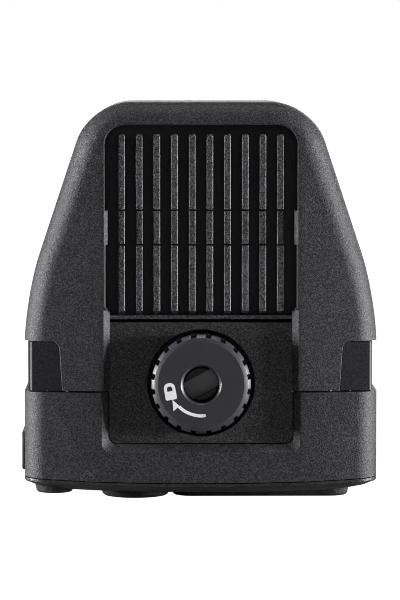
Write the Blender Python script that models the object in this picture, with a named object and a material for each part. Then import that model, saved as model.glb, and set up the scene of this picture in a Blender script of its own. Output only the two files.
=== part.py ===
"""Compact wireless transmitter module with a ribbed face and a lock wheel, as separate pieces.

Metres, +Z up. The front faces -Y, and the module stands on the surrounds under its bottom panel.
The origin is the middle of the footprint on that surface. Depths are counted back from the flat
of the front face, and at(depth) turns one into a Y coordinate.
"""

from math import atan2, cos, pi, radians, sin, tan

import bmesh
import bpy
from mathutils import Vector

# Housing outline, seen from the front
BODY_WIDTH = 0.0418
BODY_TOP = 0.0473
BODY_DEPTH = 0.0230
TOP_NARROWING = 0.0078
SHOULDER_HEIGHT = 0.0239
SHOULDER_RADIUS = 0.0350
TOP_CORNER_RADIUS = 0.0068
FRONT_EDGE_RADIUS = 0.0030
REAR_EDGE_RADIUS = 0.0010
CAVITY_EDGE_RADIUS = 0.0006
CHEEK_WIDTH = 0.0087
CHEEK_ANGLE = radians(8)
WALL = 0.0016
COVER_DEPTH = 0.0060
SEAM_HEIGHT = 0.01317

# Clearances
SEAM_GAP = 0.0001
FIT_GAP = 0.0001
SLIDE_GAP = 0.00015

# Bottom panel, arched across the width. Each step of its edge is how far in and how far down it goes.
PANEL_SEAM_MID = 0.00234
PANEL_SEAM_RISE = 0.00058
PANEL_EDGE = ((0.0, 0.00035), (0.0003, 0.0005), (0.0012, 0.00095), (0.0026, 0.00128))
PANEL_INSIDE = 0.0038
PLUG_LOW = 0.0020
SURROUND_ROOT = 0.0019

# Rib window and ribbed panel
RIB_WINDOW_MARGIN = 0.00075
RIB_WINDOW_DROP = 0.0027
RIB_WINDOW_RADIUS = 0.0024
RIB_PANEL_BOTTOM = 0.02169
RIB_PANEL_THICKNESS = 0.0017
RIB_FLOOR_DEPTH = 0.0025
RIB_LIP = 0.0006
RIB_COUNT = 10
RIB_MARGIN = 0.0021
RIB_WIDTH = 0.00085
RIB_DROP = 0.0011
RIB_BOTTOM = 0.02267
RIB_UPPER_STEP = 0.03456
RIB_LOWER_STEP = 0.03051
RIB_UPPER_LEVEL = 0.0002
RIB_MIDDLE_LEVEL = 0.0005
RIB_LOWER_LEVEL = 0.0003
RIB_END_SLOPE = 0.0005
LEDGE_HEIGHT = 0.0005
LEDGE_LEVEL = 0.0010

# Wheel plate, with its sloped surround
PLATE_MARGIN = 0.00057
PLATE_BOTTOM = 0.0070
PLATE_GROOVE = 0.00035
PLATE_LEVEL = 0.00085
PLATE_RADIUS = 0.0010
PLATE_LIP = 0.0009
PLATE_BACK = 0.0044
SLOPE_WIDTH = 0.0009
SLOPE_TOP = 0.0228
POCKET_RADIUS = 0.00632
POCKET_FLOOR = 0.0034

# Side windows
WINDOW_WIDTH = 0.0043
WINDOW_TOP = 0.0191
WINDOW_RADIUS = 0.0010
WINDOW_INSET = 0.0003
WINDOW_LIP = 0.0009
WINDOW_FOOT_LIP = 0.0002
WINDOW_FLANGE = 0.0009

# Lock wheel and its screw
WHEEL_HEIGHT = 0.01415
WHEEL_RADIUS = 0.00584
WHEEL_FACE_RADIUS = 0.00507
WHEEL_PROUD = 0.0014
WHEEL_CHAMFER = 0.0006
WHEEL_NOTCHES = 20
WHEEL_NOTCH_WIDTH = 0.00066
WHEEL_NOTCH_ROOT = 0.00547
WHEEL_NOTCH_END = 0.0022
WHEEL_BORE = 0.0022
WHEEL_BORE_CHAMFER = 0.00028
WASHER_THICKNESS = 0.0003
WASHER_RADIUS = 0.0046
COIN_SLOT_WIDTH = 0.00237
COIN_SLOT_DEPTH = 0.0010
COIN_SLOT_ANGLE = radians(27.5)
HEAD_RECESS = 0.0009
SHANK_RADIUS = 0.00195
SCREW_TIP = 0.0061
THREAD_LENGTH = 0.0056
THREAD_PITCH = 0.0007
THREAD_DEPTH = 0.0003
CLIP_GROOVE_RADIUS = 0.0015
CLIP_RADIUS = 0.0032
CLIP_THICKNESS = 0.0005
CLIP_OPENING = radians(50)
BUSHING_RADIUS = 0.0032
BUSHING_FLANGE_RADIUS = 0.0044
BUSHING_FLANGE = 0.0007
BUSHING_LENGTH = 0.0045
BUSHING_BOSS_WALL = 0.0013

# Cover screws and their posts
TOP_POST_INSET = 0.0031
TOP_POST_DROP = 0.0033
LOW_POST_INSET = 0.0033
LOW_POST_HEIGHT = 0.0102
FRONT_POST_RADIUS = 0.0020
TOP_POST_START = 0.0037
LOW_POST_START = 0.0021
SCREW_RADIUS = 0.00095
SCREW_HEAD_RADIUS = 0.0016
SCREW_HEAD_HEIGHT = 0.0014
SCREW_SINK = 0.0015
SCREW_LENGTH = 0.0085
SCREW_RECESS_LENGTH = 0.00192
SCREW_RECESS_WIDTH = 0.0005
SCREW_RECESS_DEPTH = 0.0007

# Service socket in the left side, and its hinged cover
SOCKET_BACK = 0.0068
SOCKET_HEIGHT = 0.0057
SOCKET_WIDTH = 0.0090
SOCKET_THICKNESS = 0.0032
SOCKET_RADIUS = 0.0014
SOCKET_LENGTH = 0.0065
SOCKET_WALL = 0.0003
SOCKET_FLOOR = 0.0010
TONGUE_WIDTH = 0.0067
TONGUE_THICKNESS = 0.0007
COVER_WIDTH = 0.0110
COVER_HEIGHT = 0.0046
COVER_RADIUS = 0.0010
COVER_PROUD = 0.0004
COVER_SINK = 0.00075
COVER_LIP = 0.0006
COVER_LIP_WALL = 0.0002
TETHER_LENGTH = 0.0032
TETHER_WIDTH = 0.0006

# Bottom controls
POWER_X = -0.0078
POWER_DEPTH = 0.0086
POWER_SURROUND = 0.00395
POWER_RADIUS = 0.00285
POWER_RECESS = 0.0002
MODE_INSET = 0.0035
MODE_CLEARANCE = 0.0003
MODE_SURROUND = 0.0021
MODE_RADIUS = 0.0011
MODE_FOOT = 0.0009
MODE_RECESS = 0.00015
BUTTON_TRAVEL = 0.0005
BUTTON_STEP = 0.0023
BUTTON_FLANGE = 0.0005
BUTTON_FLANGE_LIP = 0.0003
SURROUND_DRAFT = 0.0002
SURROUND_EDGE = 0.00045
DISPLAY_X = 0.0072
DISPLAY_DEPTH = 0.0128
DISPLAY_SURROUND_X = 0.0210
DISPLAY_SURROUND_Y = 0.0126
DISPLAY_SURROUND_RADIUS = 0.0022
LENS_X = 0.0174
LENS_Y = 0.0090
LENS_RADIUS = 0.0012
LENS_RECESS = 0.0002
LENS_THICKNESS = 0.0009
MODULE_MARGIN = 0.0009

# Boards, cell and frame inside
PANEL_BOARD_HEIGHT = 0.0046
BOARD_THICKNESS = 0.0008
PANEL_BOARD_FRONT = 0.0034
PANEL_BOARD_REAR = 0.0030
SWITCH_SIZE_POWER = 0.0034
SWITCH_SIZE_MODE = 0.0020
PANEL_POST_RADIUS = 0.0009
PANEL_POST_X = -0.0026
PANEL_POST_INSET = 0.0018
PANEL_POST_SIDE_INSET = 0.0027
PAD_THICKNESS = 0.0008
CAN_THICKNESS = 0.0018
CAN_WALL = 0.0003
CAN_MARGIN = 0.0024
CAN_BOTTOM = 0.0245
CAN_DROP = 0.0007
CHIP_SIZE = 0.0080
CHIP_THICKNESS = 0.0010
FRAME_MARGIN = 0.0007
FRAME_BOTTOM = 0.0178
FRAME_DROP = 0.0056
FRAME_WALL = 0.0013
FRAME_REAR = 0.0072
FRAME_RADIUS = 0.0015
CELL_MARGIN = 0.0003
ANTENNA_THICKNESS = 0.0004
ANTENNA_BOTTOM = 0.0134
ANTENNA_DROP = 0.0035
ANTENNA_LENGTH = 0.0080
ANTENNA_START = 0.0050
LINK_THICKNESS = 0.0002
LINK_WIDTH = 0.0050
LINK_INSET = 0.0046
LINK_OVERLAP = 0.0030
PRESS_POST_RADIUS = 0.0010

# Host connector, guide pins and gasket at the rear
CONNECTOR_HEIGHT = 0.0310
CONNECTOR_WIDTH = 0.0154
CONNECTOR_THICKNESS = 0.0054
CONNECTOR_RADIUS = 0.0010
CONNECTOR_WALL = 0.00035
CONNECTOR_REACH = 0.0045
INSERT_FLOOR = 0.0005
BLADE_WIDTH = 0.0124
BLADE_THICKNESS = 0.0016
BLADE_SETBACK = 0.0005
CONTACT_COUNT = 10
CONTACT_PITCH = 0.0011
CONTACT_WIDTH = 0.0006
CONTACT_THICKNESS = 0.00015
CONTACT_BAR = 0.0005
GASKET_MARGIN = 0.0013
GASKET_WIDTH = 0.0012
GASKET_SINK = 0.0008
GASKET_PROUD = 0.0003
PIN_X = 0.0130
PIN_RADIUS = 0.0012
PIN_REACH = 0.0042
PIN_TIP = 0.0006
PIN_FLANGE_RADIUS = 0.0020
PIN_FLANGE = 0.0006

# What follows from the sizes above
HALF = BODY_WIDTH / 2
TOP_WIDTH = BODY_WIDTH - 2 * TOP_NARROWING
FACE_WIDTH = BODY_WIDTH - 2 * CHEEK_WIDTH
SPLIT_DEPTH = BODY_DEPTH - COVER_DEPTH
RIB_WINDOW_TOP = BODY_TOP - RIB_WINDOW_DROP
RIB_TOP = RIB_WINDOW_TOP - RIB_DROP
RIB_WINDOW_WIDTH = FACE_WIDTH - 2 * RIB_WINDOW_MARGIN
RIB_PITCH = (RIB_WINDOW_WIDTH - 2 * RIB_MARGIN) / (RIB_COUNT - 1)
PLATE_WIDTH = RIB_WINDOW_WIDTH - 2 * PLATE_MARGIN
WINDOW_EDGE = HALF - WINDOW_WIDTH
SOCKET_DEPTH = SPLIT_DEPTH - SOCKET_BACK
MODE_DEPTH = SOCKET_DEPTH - SOCKET_WIDTH / 2 - MODE_CLEARANCE - SWITCH_SIZE_MODE / 2
TOP_POST_X = TOP_WIDTH / 2 - TOP_POST_INSET
TOP_POST_HEIGHT = BODY_TOP - TOP_POST_DROP
LOW_POST_X = HALF - LOW_POST_INSET
MODE_X = MODE_INSET - HALF
FRONT_Y = (WHEEL_PROUD - BODY_DEPTH - SCREW_TIP) / 2
SIDE_SLOPE = (HALF - TOP_WIDTH / 2) / (BODY_TOP - SHOULDER_HEIGHT)
RIB_BACK = WALL + FIT_GAP + RIB_PANEL_THICKNESS
CAN_FRONT = RIB_BACK + PAD_THICKNESS + 2 * FIT_GAP
MAIN_BOARD_FRONT = CAN_FRONT + CAN_THICKNESS + FIT_GAP
FRAME_FRONT = MAIN_BOARD_FRONT + BOARD_THICKNESS + FIT_GAP
FRAME_BACK = BODY_DEPTH - FRAME_REAR
FRAME_TOP = BODY_TOP - FRAME_DROP
CAN_TOP = FRAME_TOP - CAN_DROP
FRAME_WIDTH = TOP_WIDTH - 2 * FRAME_MARGIN
CAN_WIDTH = FRAME_WIDTH - 2 * CAN_MARGIN
LINK_X = FRAME_WIDTH / 2 - LINK_INSET
ANTENNA_TOP = SHOULDER_HEIGHT - ANTENNA_DROP
PANEL_BOARD_BACK = BODY_DEPTH - PANEL_BOARD_REAR
REAR_BOARD_FRONT = FRAME_BACK + FIT_GAP
REAR_BOARD_BACK = REAR_BOARD_FRONT + BOARD_THICKNESS
REAR_INSIDE = BODY_DEPTH - WALL
WINDOW_BACK = WALL + FIT_GAP + WINDOW_FLANGE
ANTENNA_X = HALF - WINDOW_BACK - FIT_GAP
WASHER_FRONT = POCKET_FLOOR - FIT_GAP / 2 - WASHER_THICKNESS
WHEEL_BACK = WASHER_FRONT - FIT_GAP / 2
BUSHING_FRONT = BODY_DEPTH - BUSHING_LENGTH
CLIP_BACK = BUSHING_FRONT - SLIDE_GAP
POST_GAP = SEAM_GAP / 2
POSTS = {
    "top_left": (-TOP_POST_X, TOP_POST_HEIGHT),
    "top_right": (TOP_POST_X, TOP_POST_HEIGHT),
    "low_left": (-LOW_POST_X, LOW_POST_HEIGHT),
    "low_right": (LOW_POST_X, LOW_POST_HEIGHT),
}

# Steps of rounded corners and edges, sides of round shapes, and how far cutters and joins overlap
BEVEL_STEPS = 4
REAR_STEPS = 2
ARCH_STEPS = 4
ARC_STEPS = 5
SOCKET_STEPS = 4
CORNER_STEPS = 3
CLIP_STEPS = 20
ROUND = 32
POCKET_SIDES = 48
WHEEL_SIDES = 3 * WHEEL_NOTCHES
SCREW_SIDES = 24
POST_SIDES = 20
HOLE_SIDES = 16
SMALL_POST_SIDES = 12
SMOOTH_ANGLE = radians(30)
WELD = 0.000002
OVERRUN = 0.002
BITE = 0.0003


def at(depth):
    """Y of a depth behind the flat of the front face."""
    return FRONT_Y + depth


# ---------- flat outlines ----------


def inset_corners(corners, inset):
    """Moves every side of a counter-clockwise outline inwards, and shrinks its corner radii to match."""
    moved = []
    for i, (x, y, radius) in enumerate(corners):
        before = Vector(corners[i - 1][:2])
        here = Vector((x, y))
        after = Vector(corners[(i + 1) % len(corners)][:2])
        into = (here - before).normalized()
        out = (after - here).normalized()
        half_turn = into.angle_signed(out) / -2
        shift = Vector((-into.y - out.y, into.x + out.x)).normalized() * inset / cos(half_turn)
        kept = max(radius - inset, 0.0) if radius else 0.0
        moved.append((x + shift.x, y + shift.y, kept))
    return moved


def rounded(corners, steps=ARC_STEPS):
    """Points of an outline whose corners are (x, y, radius)."""
    points = []
    for i, (x, y, radius) in enumerate(corners):
        here = Vector((x, y))
        if radius <= 0:
            points.append((x, y))
            continue
        back = (Vector(corners[i - 1][:2]) - here).normalized()
        on = (Vector(corners[(i + 1) % len(corners)][:2]) - here).normalized()
        half = back.angle(on) / 2
        centre = here + (back + on).normalized() * radius / sin(half)
        first = here + back * radius / tan(half) - centre
        last = here + on * radius / tan(half) - centre
        start = atan2(first.y, first.x)
        sweep = (atan2(last.y, last.x) - start + pi) % (2 * pi) - pi
        for k in range(steps + 1):
            turn = start + sweep * k / steps
            points.append((centre.x + radius * cos(turn), centre.y + radius * sin(turn)))
    return points


def plate_corners(x, y, width, height, radius):
    """Corners of a rounded rectangle about a middle point."""
    return [
        (x - width / 2, y - height / 2, radius),
        (x + width / 2, y - height / 2, radius),
        (x + width / 2, y + height / 2, radius),
        (x - width / 2, y + height / 2, radius),
    ]


def arch(inset):
    """Points from left to right along the panel's arched seam."""
    spots = [(HALF - inset) * k / ARCH_STEPS for k in range(-ARCH_STEPS, ARCH_STEPS + 1)]
    return [(x, PANEL_SEAM_MID + PANEL_SEAM_RISE * (x / HALF) ** 2) for x in spots]


def half_width(height):
    """Half the housing's width at a height, before its corners are rounded."""
    return HALF - max(height - SHOULDER_HEIGHT, 0) * SIDE_SLOPE


def tall_outline(inset, low):
    """The housing's front outline, inset at its sides and top, above a level lower edge."""
    half, top = HALF, TOP_WIDTH / 2
    corners = [
        (-half, low - inset, 0),
        (half, low - inset, 0),
        (half, SHOULDER_HEIGHT, SHOULDER_RADIUS),
        (top, BODY_TOP, TOP_CORNER_RADIUS),
        (-top, BODY_TOP, TOP_CORNER_RADIUS),
        (-half, SHOULDER_HEIGHT, SHOULDER_RADIUS),
    ]
    return rounded(inset_corners(corners, inset))


def cover_outline(inset):
    """The whole outline above the panel's arched seam."""
    return arch(inset) + tall_outline(inset, 0)[2:]


def low_outline(inset, top):
    """Outline from the panel's arched seam up to a level top."""
    half = HALF - inset
    return arch(inset) + [(half, top), (-half, top)]


def quarter(radius, steps):
    """(depth, inset) steps from a flat end round to the side of a rounded edge."""
    turns = [pi / 2 * k / steps for k in range(steps + 1)]
    return [(radius * (1 - cos(t)), radius * (1 - sin(t))) for t in turns]


def plan_outline(inset):
    """The housing's outline from above, counter-clockwise from the right of its flat front."""
    edge = FACE_WIDTH / 2 - inset * tan(CHEEK_ANGLE / 2)
    half = HALF - inset
    points = [(edge, at(inset))]
    for depth, more in quarter(max(FRONT_EDGE_RADIUS - inset, CAVITY_EDGE_RADIUS), BEVEL_STEPS):
        x = half - more
        points.append((x, at(inset + depth + tan(CHEEK_ANGLE) * (x - edge))))
    for depth, more in reversed(quarter(max(REAR_EDGE_RADIUS - inset, CAVITY_EDGE_RADIUS), REAR_STEPS)):
        points.append((half - more, at(BODY_DEPTH - inset - depth)))
    return points + [(-x, y) for x, y in reversed(points)]


def band_outline(inset, low, high):
    """Plain rectangle as wide as the housing."""
    half = HALF - inset
    return [(-half, low), (half, low), (half, high), (-half, high)]


# ---------- solids ----------


def place(axis, u, v, along):
    """A point from two coordinates across an axis and one along it."""
    return {"X": (along, u, v), "Y": (u, along, v), "Z": (u, v, along)}[axis]


def stacked(rings, axis):
    """Closed mesh through outlines of as many points, each with its place along an axis."""
    bm = bmesh.new()
    rows = [[bm.verts.new(place(axis, u, v, along)) for u, v in points] for points, along in rings]
    count = len(rows[0])
    for here, there in zip(rows, rows[1:]):
        for i in range(count):
            j = (i + 1) % count
            bm.faces.new((here[i], here[j], there[j], there[i]))
    bm.faces.new(rows[0])
    bm.faces.new(rows[-1])
    bmesh.ops.recalc_face_normals(bm, faces=bm.faces)
    return bm


def loft(first, last, axis, low, high):
    return stacked([(first, low), (last, high)], axis)


def prism(points, axis, low, high):
    return loft(points, points, axis, low, high)


def box(x, y, z):
    """Box from three (low, high) pairs."""
    return prism([(x[0], y[0]), (x[1], y[0]), (x[1], y[1]), (x[0], y[1])], "Z", *z)


def turned(profile, axis, u, v, sides=ROUND, ring=False):
    """Turns (radius, along) points about an axis at (u, v). A ring's profile closes on itself."""
    bm = bmesh.new()
    rows = []
    for radius, along in profile:
        if radius == 0:
            rows.append([bm.verts.new(place(axis, u, v, along))])
            continue
        turns = [2 * pi * k / sides for k in range(sides)]
        spots = [(u + radius * cos(t), v + radius * sin(t)) for t in turns]
        rows.append([bm.verts.new(place(axis, a, b, along)) for a, b in spots])
    pairs = list(zip(rows, rows[1:])) + ([(rows[-1], rows[0])] if ring else [])
    for here, there in pairs:
        for k in range(sides):
            j = (k + 1) % sides
            corners = [here[k % len(here)], here[j % len(here)], there[j % len(there)], there[k % len(there)]]
            bm.faces.new(list(dict.fromkeys(corners)))
    bmesh.ops.recalc_face_normals(bm, faces=bm.faces)
    return bm


def rod(radius, axis, u, v, low, high, sides=ROUND):
    return turned([(0, low), (radius, low), (radius, high), (0, high)], axis, u, v, sides)


def stepped(narrow, wide, start, step, end):
    """Profile of a round hole along the depth that widens at a step."""
    spots = [(0, start), (narrow, start), (narrow, step), (wide, step), (wide, end), (0, end)]
    return [(radius, at(depth)) for radius, depth in spots]


def washer(inner, outer, axis, u, v, low, high, sides=ROUND):
    return turned([(inner, low), (outer, low), (outer, high), (inner, high)], axis, u, v, sides, True)


def merged(*meshes):
    """Several closed meshes that don't touch, as one cutter."""
    bm = bmesh.new()
    for part in meshes:
        seen = {v: bm.verts.new(v.co) for v in part.verts}
        for face in part.faces:
            bm.faces.new([seen[v] for v in face.verts])
        part.free()
    return bm


# ---------- objects and their joins ----------

MATERIALS = {}


def material(name, colour, roughness, metallic=0.0):
    made = bpy.data.materials.new(name)
    made.use_nodes = True
    shader = made.node_tree.nodes["Principled BSDF"]
    shader.inputs["Base Color"].default_value = (*colour, 1.0)
    shader.inputs["Roughness"].default_value = roughness
    shader.inputs["Metallic"].default_value = metallic
    MATERIALS[name] = made


def add(name, bm, finish=None):
    """Puts a mesh in the scene. Without a finish it is a cutter or a shape to be joined, and stays out."""
    mesh = bpy.data.meshes.new(name)
    bm.to_mesh(mesh)
    bm.free()
    mesh.shade_smooth()
    mesh.set_sharp_from_angle(angle=SMOOTH_ANGLE)
    obj = bpy.data.objects.new(name, mesh)
    bpy.context.scene.collection.objects.link(obj)
    if finish:
        mesh.materials.append(MATERIALS[finish])
    else:
        obj.hide_render = True
        obj.display_type = "WIRE"
    return obj


def combine(target, other, operation):
    step = target.modifiers.new(f"{operation.lower()} {other.name}", "BOOLEAN")
    step.operation = operation
    step.object = other
    step.solver = "EXACT"
    return target


def cut(target, *tools):
    for tool in tools:
        combine(target, tool, "DIFFERENCE")


def fuse(target, *shapes):
    for shape in shapes:
        combine(target, shape, "UNION")


def split_at(bm, x):
    everything = bm.verts[:] + bm.edges[:] + bm.faces[:]
    bmesh.ops.bisect_plane(bm, geom=everything, dist=WELD, plane_co=(x, 0, 0), plane_no=(1, 0, 0))


def slope_cheeks(bm, inset, last):
    """Slopes the front back on both sides of its flat middle, down to a Y coordinate."""
    edge = FACE_WIDTH / 2 - inset * tan(CHEEK_ANGLE / 2)
    for x in (-edge, edge):
        split_at(bm, x)
    for vert in bm.verts:
        if vert.co.y < last + WELD:
            vert.co.y += tan(CHEEK_ANGLE) * max(abs(vert.co.x) - edge, 0)
    bmesh.ops.recalc_face_normals(bm, faces=bm.faces)


def housing_block(shape, front, back, inset=0.0, front_radius=0.0, rear_radius=0.0):
    """Solid between two depths with the housing's sloped cheeks and rounded front and rear edges.

    shape gives the outline's points for an inset.
    """
    layers = [(front, inset)]
    if front_radius:
        layers = [(front + depth, inset + more) for depth, more in quarter(front_radius, BEVEL_STEPS)]
    if rear_radius:
        rear = [(back - depth, inset + more) for depth, more in quarter(rear_radius, REAR_STEPS)]
        layers += rear[::-1]
    else:
        layers.append((back, inset))
    bm = stacked([(shape(grow), at(depth)) for depth, grow in layers], "Y")
    if front_radius:
        slope_cheeks(bm, inset, at(front + front_radius))
    return bm


# ---------- housing ----------


def cavity():
    """The hollow inside the shells, open below."""
    radius = CAVITY_EDGE_RADIUS
    block = housing_block(
        lambda inset: tall_outline(inset, -OVERRUN), WALL, REAR_INSIDE, WALL, radius, radius
    )
    return add("cavity", block)


def rib_window_corners(grow=0.0):
    half = RIB_WINDOW_WIDTH / 2 + grow
    radius = RIB_WINDOW_RADIUS + grow
    low = RIB_PANEL_BOTTOM
    top = RIB_WINDOW_TOP + grow
    return [(-half, low, 0), (half, low, 0), (half, top, radius), (-half, top, radius)]


def plate_window_corners(grow, top):
    half = PLATE_WIDTH / 2 + grow
    low = PLATE_BOTTOM - grow
    radius = PLATE_RADIUS + max(grow, 0)
    return [(-half, low, radius), (half, low, radius), (half, top, 0), (-half, top, 0)]


def face_windows():
    """Cutters for the rib window and for the plate window with its sloped walls."""
    outline = rounded(rib_window_corners())
    ribs = add("rib_window", prism(outline, "Y", at(-OVERRUN), at(WALL + OVERRUN)))
    grow = SLOPE_WIDTH * (1 + BITE / PLATE_LEVEL)
    wide = rounded(plate_window_corners(grow + FIT_GAP, SLOPE_TOP))
    snug = rounded(plate_window_corners(FIT_GAP, SLOPE_TOP))
    slope = add("plate_slope", loft(wide, snug, "Y", at(-BITE), at(PLATE_LEVEL)))
    through = add("plate_window", prism(snug, "Y", at(PLATE_LEVEL - BITE), at(WALL + OVERRUN)))
    return ribs, slope, through


def notch_corners(side, edge, low, top, radius):
    """Side window notch: a tall rectangle that runs out past the housing's side."""
    outer = side * (HALF + OVERRUN)
    inner = side * edge
    corners = [(outer, low, 0), (inner, low, 0), (inner, top, radius), (outer, top, 0)]
    return corners if side < 0 else corners[::-1]


def full_outline(inset):
    return tall_outline(inset, 0)


def side_window(side, label):
    """Radio window let into the notch, with a flange behind the shell."""
    low = SEAM_HEIGHT + SEAM_GAP / 2
    seen = notch_corners(side, WINDOW_EDGE + SEAM_GAP, low, WINDOW_TOP - SEAM_GAP, WINDOW_RADIUS)
    hidden = notch_corners(
        side, WINDOW_EDGE - WINDOW_LIP, SEAM_HEIGHT - WINDOW_FOOT_LIP, WINDOW_TOP + WINDOW_LIP, 0
    )
    back = SPLIT_DEPTH - POST_GAP
    radius = FRONT_EDGE_RADIUS - WINDOW_INSET
    block = housing_block(full_outline, WINDOW_INSET, back, WINDOW_INSET, radius)
    window = add(f"side_window_{label}", block, "window_plastic")
    combine(window, add(f"notch_{label}", prism(rounded(seen), "Y", at(0), at(back))), "INTERSECT")
    inside = WALL + FIT_GAP
    flange = add(f"flange_{label}", housing_block(full_outline, inside, back, inside, CAVITY_EDGE_RADIUS))
    combine(flange, add(f"flange_area_{label}", prism(rounded(hidden), "Y", at(0), at(back))), "INTERSECT")
    fuse(window, flange)
    hollow = housing_block(full_outline, WINDOW_BACK, BODY_DEPTH, WINDOW_BACK, CAVITY_EDGE_RADIUS)
    cut(window, add(f"hollow_{label}", hollow))


def front_post(name, x, z, start):
    """Screw post on the back of a front shell, and its blind hole."""
    end = SPLIT_DEPTH - POST_GAP
    post = add(f"post_{name}", rod(FRONT_POST_RADIUS, "Y", x, z, at(start), at(end), POST_SIDES))
    hole_start = BODY_DEPTH - SCREW_SINK - SCREW_HEAD_HEIGHT - SCREW_LENGTH - BITE
    bore = rod(SCREW_RADIUS + FIT_GAP, "Y", x, z, at(hole_start), at(end + OVERRUN), HOLE_SIDES)
    return post, add(f"hole_{name}", bore)


def front_shells(hollow):
    """Upper and lower front shells."""
    windows = face_windows()
    back = SPLIT_DEPTH - POST_GAP
    low = SEAM_HEIGHT + SEAM_GAP / 2
    block = housing_block(lambda inset: tall_outline(inset, low), 0, back, 0, FRONT_EDGE_RADIUS)
    upper = add("upper_shell", block, "housing_plastic")
    top = SEAM_HEIGHT - SEAM_GAP / 2
    block = housing_block(lambda inset: low_outline(inset, top), 0, back, 0, FRONT_EDGE_RADIUS)
    lower = add("lower_shell", block, "housing_plastic")
    for shell in (upper, lower):
        cut(shell, hollow, *windows)
    for side, label in ((-1, "left"), (1, "right")):
        corners = notch_corners(side, WINDOW_EDGE, SEAM_HEIGHT - OVERRUN, WINDOW_TOP, WINDOW_RADIUS)
        cut(upper, add(f"notch_cut_{label}", prism(rounded(corners), "Y", at(-OVERRUN), at(BODY_DEPTH))))
        side_window(side, label)
    for name, (x, z) in POSTS.items():
        is_top = name.startswith("top")
        post, hole = front_post(name, x, z, TOP_POST_START if is_top else LOW_POST_START)
        shell = upper if is_top else lower
        fuse(shell, post)
        cut(shell, hole)
    return lower


def rear_cover(hollow):
    """Rear cover with the mating face, screw posts, bushing boss and connector opening."""
    front = SPLIT_DEPTH + POST_GAP
    block = housing_block(cover_outline, front, BODY_DEPTH, rear_radius=REAR_EDGE_RADIUS)
    cover = add("rear_cover", block, "housing_plastic")
    cut(cover, hollow)
    inner = REAR_INSIDE + BITE
    for name, (x, z) in POSTS.items():
        post = rod(FRONT_POST_RADIUS, "Y", x, z, at(front), at(inner), POST_SIDES)
        fuse(cover, add(f"rear_post_{name}", post))
    for x in (-1, 1):
        for z in (FRAME_BOTTOM + FRAME_WALL, FRAME_TOP - FRAME_WALL):
            spot = x * (FRAME_WIDTH / 2 - FRAME_WALL / 2)
            start = REAR_BOARD_BACK + FIT_GAP
            post = rod(PRESS_POST_RADIUS, "Y", spot, z, at(start), at(inner), SMALL_POST_SIDES)
            fuse(cover, add("press_post", post))
    start = BUSHING_FRONT + FIT_GAP
    boss = rod(BUSHING_RADIUS + BUSHING_BOSS_WALL, "Y", 0, WHEEL_HEIGHT, at(start), at(inner))
    fuse(cover, add("bushing_boss", boss))
    past = BODY_DEPTH + OVERRUN
    opening = inset_corners(connector_corners(), -FIT_GAP)
    cut(cover, add("connector_opening", prism(rounded(opening), "Y", at(REAR_INSIDE - OVERRUN), at(past))))
    for x in (-PIN_X, PIN_X):
        start = REAR_INSIDE - OVERRUN
        hole = rod(PIN_RADIUS + FIT_GAP, "Y", x, CONNECTOR_HEIGHT, at(start), at(past), HOLE_SIDES)
        cut(cover, add("pin_hole", hole))
    cut(cover, gasket_ring("gasket_groove", FIT_GAP, BODY_DEPTH - GASKET_SINK, past))
    for name, (x, z) in POSTS.items():
        seat = BODY_DEPTH - SCREW_SINK - SCREW_HEAD_HEIGHT - FIT_GAP
        hole = stepped(SCREW_RADIUS + FIT_GAP, SCREW_HEAD_RADIUS + FIT_GAP, front - OVERRUN, seat, past)
        cut(cover, add(f"screw_way_{name}", turned(hole, "Y", x, z, HOLE_SIDES)))
    seat = BODY_DEPTH - BUSHING_FLANGE - FIT_GAP
    bore = stepped(
        BUSHING_RADIUS + FIT_GAP, BUSHING_FLANGE_RADIUS + FIT_GAP, BUSHING_FRONT - OVERRUN, seat, past
    )
    cut(cover, add("bushing_way", turned(bore, "Y", 0, WHEEL_HEIGHT)))


def connector_corners():
    return plate_corners(0, CONNECTOR_HEIGHT, CONNECTOR_WIDTH, CONNECTOR_THICKNESS, CONNECTOR_RADIUS)


def gasket_ring(name, grow, front, back, finish=None):
    """Rounded rectangular ring round the connector."""
    outer = inset_corners(connector_corners(), -GASKET_MARGIN - GASKET_WIDTH - grow)
    inner = inset_corners(connector_corners(), -GASKET_MARGIN + grow)
    ring = add(name, prism(rounded(outer), "Y", at(front), at(back)), finish)
    core = prism(rounded(inner), "Y", at(front - OVERRUN), at(back + OVERRUN))
    cut(ring, add(f"{name}_core", core))
    return ring


def panel_plate():
    """The panel's dished plate, built level and then bent to the arch."""
    seam = PANEL_SEAM_MID - SEAM_GAP
    rings = [(plan_outline(inset), seam - drop) for inset, drop in reversed(PANEL_EDGE)]
    bm = stacked(rings + [(plan_outline(0), seam)], "Z")
    for k in range(1 - ARCH_STEPS, ARCH_STEPS):
        split_at(bm, HALF * k / ARCH_STEPS)
    for vert in bm.verts:
        vert.co.z += PANEL_SEAM_RISE * (vert.co.x / HALF) ** 2
    bmesh.ops.recalc_face_normals(bm, faces=bm.faces)
    return bm


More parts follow.
